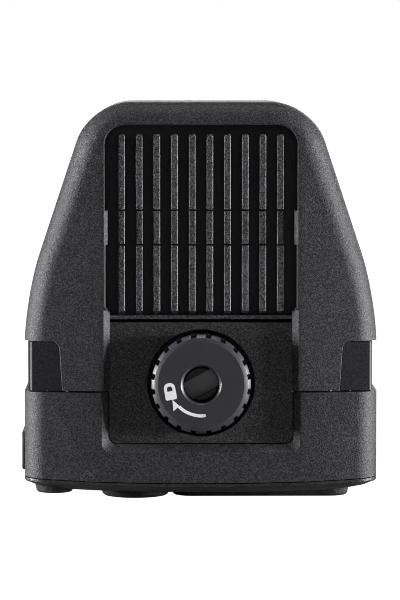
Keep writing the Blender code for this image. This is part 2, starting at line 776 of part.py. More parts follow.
def bottom_panel():
    """Arched bottom panel with the raised surrounds of its controls."""
    panel = add("bottom_panel", panel_plate(), "housing_plastic")
    inset = WALL + SLIDE_GAP
    plug = housing_block(
        lambda more: band_outline(more, PLUG_LOW, PANEL_INSIDE),
        inset, BODY_DEPTH - inset, inset, CAVITY_EDGE_RADIUS, CAVITY_EDGE_RADIUS,
    )
    fuse(panel, add("panel_plug", plug))
    for name, x, depth, outer, foot in round_controls():
        cone = [(0, foot), (outer - SURROUND_EDGE, foot), (outer, foot + SURROUND_EDGE)]
        cone += [(outer + SURROUND_DRAFT, SURROUND_ROOT), (0, SURROUND_ROOT)]
        fuse(panel, add(f"{name}_surround", turned(cone, "Z", x, at(depth))))
    side = display_corners(DISPLAY_SURROUND_X, DISPLAY_SURROUND_Y, DISPLAY_SURROUND_RADIUS)
    steps = ((SURROUND_EDGE, 0), (0, SURROUND_EDGE), (-SURROUND_DRAFT, SURROUND_ROOT))
    pad = stacked([(rounded(inset_corners(side, inset)), z) for inset, z in steps], "Z")
    fuse(panel, add("display_surround", pad))
    for x, depth in panel_posts():
        top = PANEL_BOARD_HEIGHT - FIT_GAP
        post = rod(PANEL_POST_RADIUS, "Z", x, at(depth), PANEL_INSIDE - BITE, top, SMALL_POST_SIDES)
        fuse(panel, add("panel_post", post))
    for name, x, depth, _, _ in round_controls():
        radius = button_radius(name) + SLIDE_GAP
        seat = BUTTON_STEP - FIT_GAP
        past = PANEL_INSIDE + OVERRUN
        wide = radius + BUTTON_FLANGE_LIP
        profile = [(0, -OVERRUN), (radius, -OVERRUN), (radius, seat)]
        profile += [(wide, seat), (wide, past), (0, past)]
        cut(panel, add(f"{name}_room", turned(profile, "Z", x, at(depth))))
    lens = rounded(inset_corners(display_corners(LENS_X, LENS_Y, LENS_RADIUS), -FIT_GAP))
    seat = LENS_RECESS + LENS_THICKNESS + FIT_GAP
    cut(panel, add("lens_seat", prism(lens, "Z", -OVERRUN, seat)))
    module = display_corners(LENS_X - 2 * MODULE_MARGIN, LENS_Y - 2 * MODULE_MARGIN, 0)
    room = prism(rounded(inset_corners(module, -FIT_GAP)), "Z", seat - BITE, PANEL_INSIDE + OVERRUN)
    cut(panel, add("module_room", room))


def round_controls():
    """Name, x, depth, surround radius and lowest height of the two buttons' surrounds."""
    return (
        ("power", POWER_X, POWER_DEPTH, POWER_SURROUND, 0.0),
        ("mode", MODE_X, MODE_DEPTH, MODE_SURROUND, MODE_FOOT),
    )


def button_radius(name):
    return {"power": POWER_RADIUS, "mode": MODE_RADIUS}[name]


def display_corners(width, depth, radius):
    return plate_corners(DISPLAY_X, at(DISPLAY_DEPTH), width, depth, radius)


def panel_posts():
    """Places of the posts that the panel board stands on."""
    columns = (HALF - WALL - PANEL_POST_SIDE_INSET, PANEL_POST_X)
    rows = (PANEL_BOARD_FRONT + PANEL_POST_INSET, PANEL_BOARD_BACK - PANEL_POST_INSET)
    return [(x, depth) for x in columns for depth in rows]


# ---------- front inserts ----------


def ribbed_panel():
    """Heat-sink panel behind the rib window, with its stepped ribs."""
    front = WALL + FIT_GAP
    corners = rib_window_corners(RIB_LIP)
    panel = add("ribbed_panel", prism(rounded(corners), "Y", at(front), at(RIB_BACK)), "rib_metal")
    floor = [(x, z + LEDGE_HEIGHT if r == 0 else z, r) for x, z, r in rib_window_corners(-FIT_GAP)]
    cut(panel, add("rib_floor", prism(rounded(floor), "Y", at(front - OVERRUN), at(RIB_FLOOR_DEPTH))))
    ledge_half = PLATE_WIDTH / 2
    ledge = box(
        (-ledge_half, ledge_half),
        (at(LEDGE_LEVEL), at(front + BITE)),
        (RIB_PANEL_BOTTOM, RIB_PANEL_BOTTOM + LEDGE_HEIGHT),
    )
    fuse(panel, add("ledge", ledge))
    root = RIB_FLOOR_DEPTH + BITE
    side_view = [
        (root, RIB_BOTTOM - RIB_END_SLOPE),
        (RIB_FLOOR_DEPTH, RIB_BOTTOM - RIB_END_SLOPE),
        (RIB_LOWER_LEVEL, RIB_BOTTOM),
        (RIB_LOWER_LEVEL, RIB_LOWER_STEP),
        (RIB_MIDDLE_LEVEL, RIB_LOWER_STEP),
        (RIB_MIDDLE_LEVEL, RIB_UPPER_STEP),
        (RIB_UPPER_LEVEL, RIB_UPPER_STEP),
        (RIB_UPPER_LEVEL, RIB_TOP),
        (root, RIB_TOP),
    ]
    points = [(at(depth), z) for depth, z in side_view]
    for k in range(RIB_COUNT):
        x = (k - (RIB_COUNT - 1) / 2) * RIB_PITCH
        fuse(panel, add(f"rib_{k}", prism(points, "X", x - RIB_WIDTH / 2, x + RIB_WIDTH / 2)))


def wheel_plate():
    """Flat plate that carries the lock wheel in a round pocket."""
    top = RIB_PANEL_BOTTOM - PLATE_GROOVE
    front = WALL + FIT_GAP
    flange = rounded(plate_window_corners(PLATE_LIP, top))
    plate = add("wheel_plate", prism(flange, "Y", at(front), at(PLATE_BACK)), "housing_plastic")
    face = rounded(plate_window_corners(0, top))
    fuse(plate, add("plate_face", prism(face, "Y", at(PLATE_LEVEL), at(front + BITE))))
    pocket = rod(POCKET_RADIUS, "Y", 0, WHEEL_HEIGHT, at(-OVERRUN), at(POCKET_FLOOR), POCKET_SIDES)
    bore = rod(SHANK_RADIUS + SLIDE_GAP, "Y", 0, WHEEL_HEIGHT, at(0), at(PLATE_BACK + OVERRUN))
    cut(plate, add("pocket", pocket), add("plate_bore", bore))


# ---------- lock wheel and screw ----------


def lock_wheel():
    """Notched thumb wheel round the screw's head."""
    face = -WHEEL_PROUD
    profile = [
        (WHEEL_BORE, WHEEL_BACK),
        (WHEEL_RADIUS, WHEEL_BACK),
        (WHEEL_RADIUS, face + WHEEL_CHAMFER),
        (WHEEL_FACE_RADIUS, face),
        (WHEEL_BORE + WHEEL_BORE_CHAMFER, face),
        (WHEEL_BORE, face + WHEEL_BORE_CHAMFER),
    ]
    spots = [(r, at(d)) for r, d in profile]
    wheel = add("lock_wheel", turned(spots, "Y", 0, WHEEL_HEIGHT, WHEEL_SIDES, True), "wheel_plastic")
    notches = []
    for k in range(WHEEL_NOTCHES):
        turn = 2 * pi * (k + 0.5) / WHEEL_NOTCHES
        out = Vector((cos(turn), sin(turn)))
        across = Vector((-sin(turn), cos(turn))) * WHEEL_NOTCH_WIDTH / 2
        middle = Vector((0, WHEEL_HEIGHT))
        inner, outer = middle + out * WHEEL_NOTCH_ROOT, middle + out * (WHEEL_RADIUS + BITE)
        points = [inner - across, outer - across, outer + across, inner + across]
        notches.append(prism([tuple(p) for p in points], "Y", at(face - OVERRUN), at(WHEEL_NOTCH_END)))
    cut(wheel, add("wheel_notches", merged(*notches)))
    ring = washer(
        SHANK_RADIUS + SLIDE_GAP, WASHER_RADIUS, "Y", 0, WHEEL_HEIGHT,
        at(WASHER_FRONT), at(WASHER_FRONT + WASHER_THICKNESS),
    )
    add("wheel_washer", ring, "washer_nylon")


def lock_screw():
    """Captive screw: coin-slotted head in the wheel, shank, clip groove and threaded tip."""
    head = HEAD_RECESS - WHEEL_PROUD
    tip = BODY_DEPTH + SCREW_TIP
    clip_front = CLIP_BACK - CLIP_THICKNESS
    profile = [
        (0, head),
        (WHEEL_BORE - FIT_GAP / 2, head),
        (WHEEL_BORE - FIT_GAP / 2, WASHER_FRONT - FIT_GAP / 2),
        (SHANK_RADIUS, WASHER_FRONT - FIT_GAP / 2),
        (SHANK_RADIUS, clip_front - FIT_GAP),
        (CLIP_GROOVE_RADIUS, clip_front - FIT_GAP),
        (CLIP_GROOVE_RADIUS, CLIP_BACK + FIT_GAP),
        (SHANK_RADIUS, CLIP_BACK + FIT_GAP),
    ]
    start = tip - THREAD_LENGTH
    for k in range(round(THREAD_LENGTH / THREAD_PITCH)):
        crest = start + k * THREAD_PITCH
        profile += [(SHANK_RADIUS, crest), (SHANK_RADIUS - THREAD_DEPTH, crest + THREAD_PITCH / 2)]
    profile += [(SHANK_RADIUS - THREAD_DEPTH, tip), (0, tip)]
    spots = [(r, at(d)) for r, d in profile]
    screw = add("lock_screw", turned(spots, "Y", 0, WHEEL_HEIGHT, SCREW_SIDES), "screw_steel")
    along = Vector((cos(COIN_SLOT_ANGLE), sin(COIN_SLOT_ANGLE))) * 2 * WHEEL_BORE
    across = Vector((-sin(COIN_SLOT_ANGLE), cos(COIN_SLOT_ANGLE))) * COIN_SLOT_WIDTH / 2
    middle = Vector((0, WHEEL_HEIGHT))
    points = [middle - along - across, middle + along - across]
    points += [middle + along + across, middle - along + across]
    slot = prism([tuple(p) for p in points], "Y", at(head - OVERRUN), at(head + COIN_SLOT_DEPTH))
    cut(screw, add("coin_slot", slot))


def screw_clip():
    """Open ring that keeps the screw in the module."""
    turn = (2 * pi - CLIP_OPENING) / CLIP_STEPS
    turns = [CLIP_OPENING / 2 + turn * k for k in range(CLIP_STEPS + 1)]
    inner = CLIP_GROOVE_RADIUS + FIT_GAP
    points = [(CLIP_RADIUS * sin(t), WHEEL_HEIGHT - CLIP_RADIUS * cos(t)) for t in turns]
    points += [(inner * sin(t), WHEEL_HEIGHT - inner * cos(t)) for t in reversed(turns)]
    add("screw_clip", prism(points, "Y", at(CLIP_BACK - CLIP_THICKNESS), at(CLIP_BACK)), "screw_steel")


def screw_bushing():
    """Flanged metal sleeve that the screw turns in."""
    inner = SHANK_RADIUS + SLIDE_GAP
    flange = BODY_DEPTH - BUSHING_FLANGE
    profile = [
        (inner, BUSHING_FRONT),
        (BUSHING_RADIUS, BUSHING_FRONT),
        (BUSHING_RADIUS, flange),
        (BUSHING_FLANGE_RADIUS, flange),
        (BUSHING_FLANGE_RADIUS, BODY_DEPTH),
        (inner, BODY_DEPTH),
    ]
    spots = [(r, at(d)) for r, d in profile]
    add("screw_bushing", turned(spots, "Y", 0, WHEEL_HEIGHT, ring=True), "bright_metal")


def cover_screws():
    """Four cross-recessed screws that hold the rear cover."""
    for name, (x, z) in POSTS.items():
        top = BODY_DEPTH - SCREW_SINK
        seat = top - SCREW_HEAD_HEIGHT
        profile = [(0, seat - SCREW_LENGTH), (SCREW_RADIUS, seat - SCREW_LENGTH), (SCREW_RADIUS, seat)]
        profile += [(SCREW_HEAD_RADIUS, seat), (SCREW_HEAD_RADIUS, top), (0, top)]
        spots = [(r, at(d)) for r, d in profile]
        screw = add(f"cover_screw_{name}", turned(spots, "Y", x, z, HOLE_SIDES), "screw_steel")
        depth = (at(top - SCREW_RECESS_DEPTH), at(top + OVERRUN))
        long, short = SCREW_RECESS_LENGTH / 2, SCREW_RECESS_WIDTH / 2
        for label, half_x, half_z in (("flat", long, short), ("tall", short, long)):
            bar = box((x - half_x, x + half_x), depth, (z - half_z, z + half_z))
            cut(screw, add(f"recess_{name}_{label}", bar))


# ---------- service socket and cover ----------


def side_plate(width, height, radius, low, high):
    """Rounded plate seen from the side, between two X positions."""
    corners = plate_corners(at(SOCKET_DEPTH), SOCKET_HEIGHT, width, height, radius)
    return prism(rounded(corners, SOCKET_STEPS), "X", low, high)


def service_socket(shell):
    """Socket behind the left wall, its hinged cover and the opening for both."""
    wall_in, wall_out = -HALF + WALL, -HALF
    play = 2 * SLIDE_GAP
    hole = side_plate(
        SOCKET_WIDTH + play, SOCKET_THICKNESS + play, SOCKET_RADIUS, wall_out - OVERRUN, wall_in + OVERRUN
    )
    seat = side_plate(
        COVER_WIDTH + play, COVER_HEIGHT + play, COVER_RADIUS + SLIDE_GAP,
        wall_out - OVERRUN, wall_out + COVER_SINK,
    )
    cut(shell, add("socket_hole", hole), add("cover_seat", seat))
    mouth = wall_in + FIT_GAP
    back = mouth + SOCKET_LENGTH
    body = side_plate(SOCKET_WIDTH, SOCKET_THICKNESS, SOCKET_RADIUS, mouth, back)
    socket = add("service_socket", body, "bright_metal")
    inside = side_plate(
        SOCKET_WIDTH - 2 * SOCKET_WALL, SOCKET_THICKNESS - 2 * SOCKET_WALL, SOCKET_RADIUS - SOCKET_WALL,
        mouth - OVERRUN, back - SOCKET_FLOOR,
    )
    cut(socket, add("socket_inside", inside))
    half_w, half_t = TONGUE_WIDTH / 2, TONGUE_THICKNESS / 2
    y, z = at(SOCKET_DEPTH), SOCKET_HEIGHT
    tongue = box(
        (mouth + BITE, back - SOCKET_FLOOR + BITE), (y - half_w, y + half_w), (z - half_t, z + half_t)
    )
    fuse(socket, add("socket_tongue", tongue))
    outer = wall_out - COVER_PROUD
    floor = wall_out + COVER_SINK - FIT_GAP
    cover = add("socket_cover", side_plate(COVER_WIDTH, COVER_HEIGHT, COVER_RADIUS, outer, floor), "rubber")
    lip = side_plate(
        SOCKET_WIDTH - 2 * COVER_LIP_WALL, SOCKET_THICKNESS - 2 * COVER_LIP_WALL,
        SOCKET_RADIUS - COVER_LIP_WALL, floor - BITE, floor + COVER_LIP,
    )
    fuse(cover, add("cover_lip", lip))
    hinge_y = y + COVER_WIDTH / 2 + play
    half = TETHER_LENGTH / 2
    tether = ((outer, floor), (hinge_y, hinge_y + TETHER_WIDTH), (z - half, z + half))
    add("cover_tether", box(*tether), "rubber")
    room = (
        (wall_out - OVERRUN, wall_out + COVER_SINK),
        (hinge_y - play, hinge_y + TETHER_WIDTH + FIT_GAP),
        (z - half - FIT_GAP, z + half + FIT_GAP),
    )
    cut(shell, add("tether_room", box(*room)))


# ---------- bottom controls ----------


def buttons():
    """Power and mode buttons, each with a flange that keeps it in the panel, and its switch."""
    sizes = {
        "power": (0.0, POWER_RECESS, SWITCH_SIZE_POWER),
        "mode": (MODE_FOOT, MODE_RECESS, SWITCH_SIZE_MODE),
    }
    for name, x, depth, _, _ in round_controls():
        foot, recess, size = sizes[name]
        radius = button_radius(name)
        low = foot + recess
        flange_top = BUTTON_STEP + BUTTON_FLANGE
        profile = [
            (0, low),
            (radius, low),
            (radius, BUTTON_STEP),
            (radius + BUTTON_FLANGE_LIP, BUTTON_STEP),
            (radius + BUTTON_FLANGE_LIP, flange_top),
            (0, flange_top),
        ]
        add(f"{name}_button", turned(profile, "Z", x, at(depth)), "rubber")
        bottom = flange_top + BUTTON_TRAVEL + FIT_GAP
        y, half = at(depth), size / 2
        switch = box((x - half, x + half), (y - half, y + half), (bottom, PANEL_BOARD_HEIGHT - FIT_GAP))
        add(f"{name}_switch", switch, "switch_black")


def display():
    """Window lens and display module."""
    lens = rounded(display_corners(LENS_X, LENS_Y, LENS_RADIUS))
    top = LENS_RECESS + LENS_THICKNESS
    add("display_window", prism(lens, "Z", LENS_RECESS, top), "window_gloss")
    module = display_corners(LENS_X - 2 * MODULE_MARGIN, LENS_Y - 2 * MODULE_MARGIN, 0)
    solid = prism(rounded(module), "Z", top + FIT_GAP, PANEL_BOARD_HEIGHT - FIT_GAP)
    add("display_module", solid, "display_white")


# ---------- inside ----------


def boards():
    """Panel, main and rear circuit boards, and the ribbon between two of them."""
    top = PANEL_BOARD_HEIGHT + BOARD_THICKNESS
    half = HALF - WALL - 2 * FIT_GAP
    y_range = (at(PANEL_BOARD_FRONT), at(PANEL_BOARD_BACK))
    panel_board = add("panel_board", box((-half, half), y_range, (PANEL_BOARD_HEIGHT, top)), "board_green")
    y, wide = at(SOCKET_DEPTH), SOCKET_WIDTH / 2 + FIT_GAP
    socket_end = -HALF + WALL + FIT_GAP + SOCKET_LENGTH
    gap = box((-HALF, socket_end + 2 * FIT_GAP), (y - wide, y + wide), (0, top + OVERRUN))
    cut(panel_board, add("socket_gap", gap))
    side = ANTENNA_X - ANTENNA_THICKNESS - 2 * FIT_GAP
    trim = HALF - side
    corners = [
        (-side, FRAME_BOTTOM), (side, FRAME_BOTTOM), (side, SHOULDER_HEIGHT),
        (half_width(FRAME_TOP) - trim, FRAME_TOP), (trim - half_width(FRAME_TOP), FRAME_TOP),
        (-side, SHOULDER_HEIGHT),
    ]
    back = at(MAIN_BOARD_FRONT + BOARD_THICKNESS)
    add("main_board", prism(corners, "Y", at(MAIN_BOARD_FRONT), back), "board_green")
    x = FRAME_WIDTH / 2
    rear = box((-x, x), (at(REAR_BOARD_FRONT), at(REAR_BOARD_BACK)), (FRAME_BOTTOM, FRAME_TOP))
    add("rear_board", rear, "board_green")
    near = REAR_BOARD_BACK + FIT_GAP
    far = near + LINK_THICKNESS
    foot = top + FIT_GAP
    shape = [
        (near, foot), (near + LINK_OVERLAP, foot), (near + LINK_OVERLAP, foot + LINK_THICKNESS),
        (far, foot + LINK_THICKNESS), (far, FRAME_BOTTOM + LINK_OVERLAP), (near, FRAME_BOTTOM + LINK_OVERLAP),
    ]
    points = [(at(d), z) for d, z in shape]
    add("board_ribbon", prism(points, "X", LINK_X - LINK_WIDTH / 2, LINK_X + LINK_WIDTH / 2), "ribbon_amber")


def radio_parts():
    """Thermal pad, shield can, radio chip and the two antennas."""
    half = CAN_WIDTH / 2
    pad = box(
        (-half + 2 * CAN_WALL, half - 2 * CAN_WALL),
        (at(RIB_BACK + FIT_GAP), at(RIB_BACK + FIT_GAP + PAD_THICKNESS)),
        (CAN_BOTTOM + 2 * CAN_WALL, CAN_TOP - 2 * CAN_WALL),
    )
    add("thermal_pad", pad, "pad_grey")
    back = CAN_FRONT + CAN_THICKNESS
    solid = box((-half, half), (at(CAN_FRONT), at(back)), (CAN_BOTTOM, CAN_TOP))
    can = add("shield_can", solid, "bright_metal")
    inner = box(
        (-half + CAN_WALL, half - CAN_WALL),
        (at(CAN_FRONT + CAN_WALL), at(back + OVERRUN)),
        (CAN_BOTTOM + CAN_WALL, CAN_TOP - CAN_WALL),
    )
    cut(can, add("can_inside", inner))
    middle, size = (CAN_BOTTOM + CAN_TOP) / 2, CHIP_SIZE / 2
    chip_back = MAIN_BOARD_FRONT - FIT_GAP
    chip = box((-size, size), (at(chip_back - CHIP_THICKNESS), at(chip_back)), (middle - size, middle + size))
    add("radio_chip", chip, "switch_black")
    for side, label in ((-1, "left"), (1, "right")):
        x = sorted((side * ANTENNA_X, side * (ANTENNA_X - ANTENNA_THICKNESS)))
        y_range = (at(ANTENNA_START), at(ANTENNA_START + ANTENNA_LENGTH))
        add(f"antenna_{label}", box(x, y_range, (ANTENNA_BOTTOM, ANTENNA_TOP)), "ribbon_amber")


def frame_and_cell():
    """Inner frame between the two upright boards, with the cell inside it."""
    middle = (FRAME_BOTTOM + FRAME_TOP) / 2
    height = FRAME_TOP - FRAME_BOTTOM
    outer = plate_corners(0, middle, FRAME_WIDTH, height, FRAME_RADIUS)
    solid = prism(rounded(outer, CORNER_STEPS), "Y", at(FRAME_FRONT), at(FRAME_BACK))
    frame = add("inner_frame", solid, "frame_plastic")
    inner = inset_corners(outer, FRAME_WALL)
    past = (at(FRAME_FRONT - OVERRUN), at(FRAME_BACK + OVERRUN))
    cut(frame, add("frame_inside", prism(rounded(inner, CORNER_STEPS), "Y", *past)))
    cell = inset_corners(outer, FRAME_WALL + CELL_MARGIN)
    reach = (at(FRAME_FRONT + FIT_GAP), at(FRAME_BACK - CELL_MARGIN))
    add("battery_cell", prism(rounded(cell, CORNER_STEPS), "Y", *reach), "cell_blue")


# ---------- host connector ----------


def host_connector():
    """Metal shell, moulded insert and two contact rows that plug into the host."""
    front, end = REAR_BOARD_BACK + FIT_GAP, BODY_DEPTH + CONNECTOR_REACH
    outer = rounded(connector_corners(), CORNER_STEPS)
    shell = add("connector_shell", prism(outer, "Y", at(front), at(end)), "bright_metal")
    bore = rounded(inset_corners(connector_corners(), CONNECTOR_WALL), CORNER_STEPS)
    cut(shell, add("shell_bore", prism(bore, "Y", at(front - OVERRUN), at(end + OVERRUN))))
    core = rounded(inset_corners(connector_corners(), CONNECTOR_WALL + FIT_GAP), CORNER_STEPS)
    face = BODY_DEPTH + INSERT_FLOOR
    insert = add("connector_insert", prism(core, "Y", at(front), at(face)), "insert_black")
    half_w, half_t = BLADE_WIDTH / 2, BLADE_THICKNESS / 2
    z = CONNECTOR_HEIGHT
    tip = end - BLADE_SETBACK
    blade = box((-half_w, half_w), (at(face - BITE), at(tip)), (z - half_t, z + half_t))
    fuse(insert, add("blade", blade))
    for side, label in ((1, "upper"), (-1, "lower")):
        low = half_t + FIT_GAP / 2
        levels = sorted((z + side * low, z + side * (low + CONTACT_THICKNESS)))
        start = face + FIT_GAP / 2
        span = (CONTACT_COUNT - 1) * CONTACT_PITCH / 2 + CONTACT_WIDTH / 2
        row = add(
            f"contact_row_{label}",
            box((-span, span), (at(start), at(start + CONTACT_BAR)), levels),
            "contact_gold",
        )
        for k in range(CONTACT_COUNT):
            x = (k - (CONTACT_COUNT - 1) / 2) * CONTACT_PITCH
            reach = (at(start + CONTACT_BAR / 2), at(tip - BLADE_SETBACK))
            finger = box((x - CONTACT_WIDTH / 2, x + CONTACT_WIDTH / 2), reach, levels)
            fuse(row, add(f"contact_{label}_{k}", finger))


def rear_fittings():
    """Guide pins and gasket on the mating face."""
    for x, label in ((-PIN_X, "left"), (PIN_X, "right")):
        inside, end = REAR_INSIDE - FIT_GAP, BODY_DEPTH + PIN_REACH
        profile = [
            (0, inside - PIN_FLANGE),
            (PIN_FLANGE_RADIUS, inside - PIN_FLANGE),
            (PIN_FLANGE_RADIUS, inside),
            (PIN_RADIUS, inside),
            (PIN_RADIUS, end - PIN_TIP),
            (PIN_RADIUS - PIN_TIP, end),
            (0, end),
        ]
        spots = [(r, at(d)) for r, d in profile]
        add(f"guide_pin_{label}", turned(spots, "Y", x, CONNECTOR_HEIGHT, HOLE_SIDES), "bright_metal")
    front = BODY_DEPTH - GASKET_SINK + FIT_GAP
    gasket_ring("connector_gasket", 0, front, BODY_DEPTH + GASKET_PROUD, "rubber")


def make_materials():
    material("housing_plastic", (0.036, 0.036, 0.039), 0.62)
    material("rib_metal", (0.036, 0.036, 0.038), 0.60)
    material("window_plastic", (0.024, 0.024, 0.027), 0.55)
    material("wheel_plastic", (0.040, 0.040, 0.045), 0.42)
    material("rubber", (0.018, 0.018, 0.019), 0.70)
    material("screw_steel", (0.055, 0.055, 0.052), 0.38, 0.9)
    material("bright_metal", (0.62, 0.62, 0.60), 0.30, 1.0)
    material("contact_gold", (0.80, 0.58, 0.24), 0.25, 1.0)
    material("washer_nylon", (0.60, 0.60, 0.56), 0.50)
    material("window_gloss", (0.012, 0.012, 0.014), 0.08)
    material("display_white", (0.55, 0.58, 0.56), 0.40)
    material("insert_black", (0.020, 0.020, 0.020), 0.45)
    material("switch_black", (0.025, 0.025, 0.025), 0.50)
    material("board_green", (0.030, 0.150, 0.070), 0.45)
    material("ribbon_amber", (0.42, 0.20, 0.05), 0.40)
    material("pad_grey", (0.35, 0.36, 0.38), 0.85)
    material("frame_plastic", (0.050, 0.050, 0.055), 0.60)
    material("cell_blue", (0.10, 0.16, 0.28), 0.35)


def main():
    for obj in list(bpy.data.objects):
        bpy.data.objects.remove(obj)
    make_materials()
    hollow = cavity()
    lower = front_shells(hollow)
    service_socket(lower)
    rear_cover(hollow)
    bottom_panel()
    ribbed_panel()
    wheel_plate()
    lock_wheel()
    lock_screw()
    screw_clip()
    screw_bushing()
    cover_screws()
    buttons()
    display()
    boards()
    radio_parts()
    frame_and_cell()
    host_connector()
    rear_fittings()


main()
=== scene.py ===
import math

import bmesh
import bpy
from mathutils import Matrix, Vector


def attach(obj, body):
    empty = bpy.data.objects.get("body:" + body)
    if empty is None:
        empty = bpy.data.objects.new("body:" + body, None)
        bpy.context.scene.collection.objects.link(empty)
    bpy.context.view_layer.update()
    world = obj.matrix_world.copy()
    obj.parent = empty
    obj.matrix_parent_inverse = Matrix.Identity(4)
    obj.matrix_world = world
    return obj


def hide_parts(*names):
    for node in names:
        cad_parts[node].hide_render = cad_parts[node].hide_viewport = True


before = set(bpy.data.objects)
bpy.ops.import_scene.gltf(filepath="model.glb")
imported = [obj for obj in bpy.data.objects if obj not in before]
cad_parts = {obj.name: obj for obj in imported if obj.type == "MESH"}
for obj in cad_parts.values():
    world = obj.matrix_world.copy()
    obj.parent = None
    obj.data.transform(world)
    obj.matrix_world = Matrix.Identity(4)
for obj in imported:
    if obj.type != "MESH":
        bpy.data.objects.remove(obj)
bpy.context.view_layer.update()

# Pieces are modelled in millimetres and brought down to metres when they are finished.
metre = 0.001
frontY = -13.85  # the flat of the front face
tiny = 0.002  # closer than this counts as the same place
far = 60  # past every side of the case
ahead = frontY - 3  # in front of the face, where cutters start


def at(depth):
    # the Y that lies this deep behind the front face
    return frontY + depth


# Modelling tools


def begin(obj):
    bpy.ops.object.select_all(action="DESELECT")
    obj.select_set(True)
    bpy.context.view_layer.objects.active = obj
    bpy.ops.object.mode_set(mode="EDIT")


def end():
    bpy.ops.object.mode_set(mode="OBJECT")


def everything():
    bpy.ops.mesh.select_all(action="SELECT")


def pick(kind, test, sharp=0):
    # Vertices are picked by place, edges by middle and direction, and faces by direction.
    # With sharp, an edge is picked only where its faces meet at more than so many degrees.
    bpy.ops.mesh.select_mode(type=kind)
    bpy.ops.mesh.select_all(action="DESELECT")
    mesh = bmesh.from_edit_mesh(bpy.context.edit_object.data)
    found = 0
    for item in {"VERT": mesh.verts, "EDGE": mesh.edges, "FACE": mesh.faces}[kind]:
        if kind == "VERT":
            hit = test(item.co)
        elif kind == "EDGE":
            first, last = (v.co for v in item.verts)
            hit = test((first + last) / 2, (last - first).normalized())
            hit = hit and (not sharp or math.degrees(item.calc_face_angle(0)) > sharp)
        else:
            hit = test(item.normal)
        if hit:
            item.select_set(True)
            found += 1
    bmesh.update_edit_mesh(bpy.context.edit_object.data)
    return found


def along(letter, where=lambda p: True):
    # the test for edges that run along an axis
    return lambda p, d: abs(getattr(d, letter)) > 0.9 and where(p)


def across(letter, where):
    # the test for edges square to an axis
    return lambda p, d: abs(getattr(d, letter)) < 0.1 and where(p)


def extrude(x=0.0, y=0.0, z=0.0):
    bpy.ops.mesh.extrude_region_move(TRANSFORM_OT_translate={"value": (x, y, z)})


def shift(x=0.0, y=0.0, z=0.0):
    bpy.ops.transform.translate(value=(x, y, z))


def block(name, x, y, z):
    bpy.ops.object.select_all(action="DESELECT")
    middle = [(low + high) / 2 for low, high in (x, y, z)]
    size = [high - low for low, high in (x, y, z)]
    bpy.ops.mesh.primitive_cube_add(size=1, location=middle, scale=size)
    obj = bpy.context.object
    obj.name = name
    bpy.ops.object.transform_apply(location=True, rotation=True, scale=True)
    return obj


def disc(name, radius, axis, centre, low, high, sides=96):
    # cylinder along Y or Z, by the two other coordinates of its centre
    bpy.ops.object.select_all(action="DESELECT")
    middle = (low + high) / 2
    alongY = axis == "Y"
    bpy.ops.mesh.primitive_cylinder_add(
        vertices=sides, radius=radius, depth=high - low,
        location=(centre[0], middle, centre[1]) if alongY else (centre[0], centre[1], middle),
        rotation=(math.pi / 2 if alongY else 0, 0, 0),
    )
    obj = bpy.context.object
    obj.name = name
    bpy.ops.object.transform_apply(location=True, rotation=True, scale=True)
    return obj


def bevel(obj, test, width, steps=3, sharp=0, clamp=False):
    begin(obj)
    if pick("EDGE", test, sharp):
        bpy.ops.mesh.bevel(offset=width, segments=steps, profile=0.5, affect="EDGES", clamp_overlap=clamp)
    end()
    return obj


def sliceAt(obj, point, normal):
    begin(obj)
    everything()
    bpy.ops.mesh.bisect(plane_co=point, plane_no=normal, threshold=0.0005)
    end()


def modify(obj, kind, **settings):
    # adds a modifier, sets it and applies it
    bpy.ops.object.select_all(action="DESELECT")
    bpy.context.view_layer.objects.active = obj
    modifier = obj.modifiers.new(kind.lower(), kind)
    for key, value in settings.items():
        setattr(modifier, key, value)
    bpy.ops.object.modifier_apply(modifier=modifier.name)
    return obj


def boolean(obj, tool, operation="DIFFERENCE"):
    # the tool is used up
    modify(obj, "BOOLEAN", object=tool, operation=operation, solver="EXACT")
    bpy.data.objects.remove(tool)
    return obj


def push(obj, axis, amount):
    # moves points along an axis by amount(point), with a weighted Displace
    values = [amount(v.co) for v in obj.data.vertices]
    reach = max(values, key=abs)
    if abs(reach) < tiny:
        return obj
    group = obj.vertex_groups.new(name="push")
    for vertex, value in zip(obj.data.vertices, values):
        group.add([vertex.index], max(value / reach, 0), "REPLACE")
    modify(obj, "DISPLACE", direction=axis, mid_level=0, strength=reach, vertex_group=group.name)
    obj.vertex_groups.clear()
    return obj


def copy(obj, name):
    twin = obj.copy()
    twin.data = obj.data.copy()
    twin.name = name
    bpy.context.scene.collection.objects.link(twin)
    return twin


def join(objs, name):
    bpy.ops.object.select_all(action="DESELECT")
    for obj in objs:
        obj.select_set(True)
    bpy.context.view_layer.objects.active = objs[0]
    bpy.ops.object.join()
    objs[0].name = name
    return objs[0]


def soften(obj, width, steps=2, angle=38, flat=0.3):
    # rounds every sharp edge a little, after near doubles and flat seams are cleared
    begin(obj)
    everything()
    bpy.ops.mesh.remove_doubles(threshold=0.004)
    bpy.ops.mesh.dissolve_limited(angle_limit=math.radians(flat))
    end()
    return modify(
        obj, "BEVEL", width=width, segments=steps, limit_method="ANGLE", angle_limit=math.radians(angle),
        use_clamp_overlap=True, miter_outer="MITER_ARC",
    )


def finish(obj, body, node, paint, smooth=32):
    # scales to metres, shades, and hands the piece to its body
    bpy.ops.object.select_all(action="DESELECT")
    obj.select_set(True)
    bpy.context.view_layer.objects.active = obj
    obj.scale = (metre, metre, metre)
    bpy.ops.object.transform_apply(location=True, rotation=True, scale=True)
    begin(obj)
    everything()
    bpy.ops.mesh.normals_make_consistent(inside=False)
    end()
    bpy.ops.object.shade_smooth_by_angle(angle=math.radians(smooth))
    modify(obj, "WEIGHTED_NORMAL", keep_sharp=True)
    obj.data.materials.clear()
    obj.data.materials.append(finishes[paint])
    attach(obj, body)
    if node:
        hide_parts(node)


# Shader tools


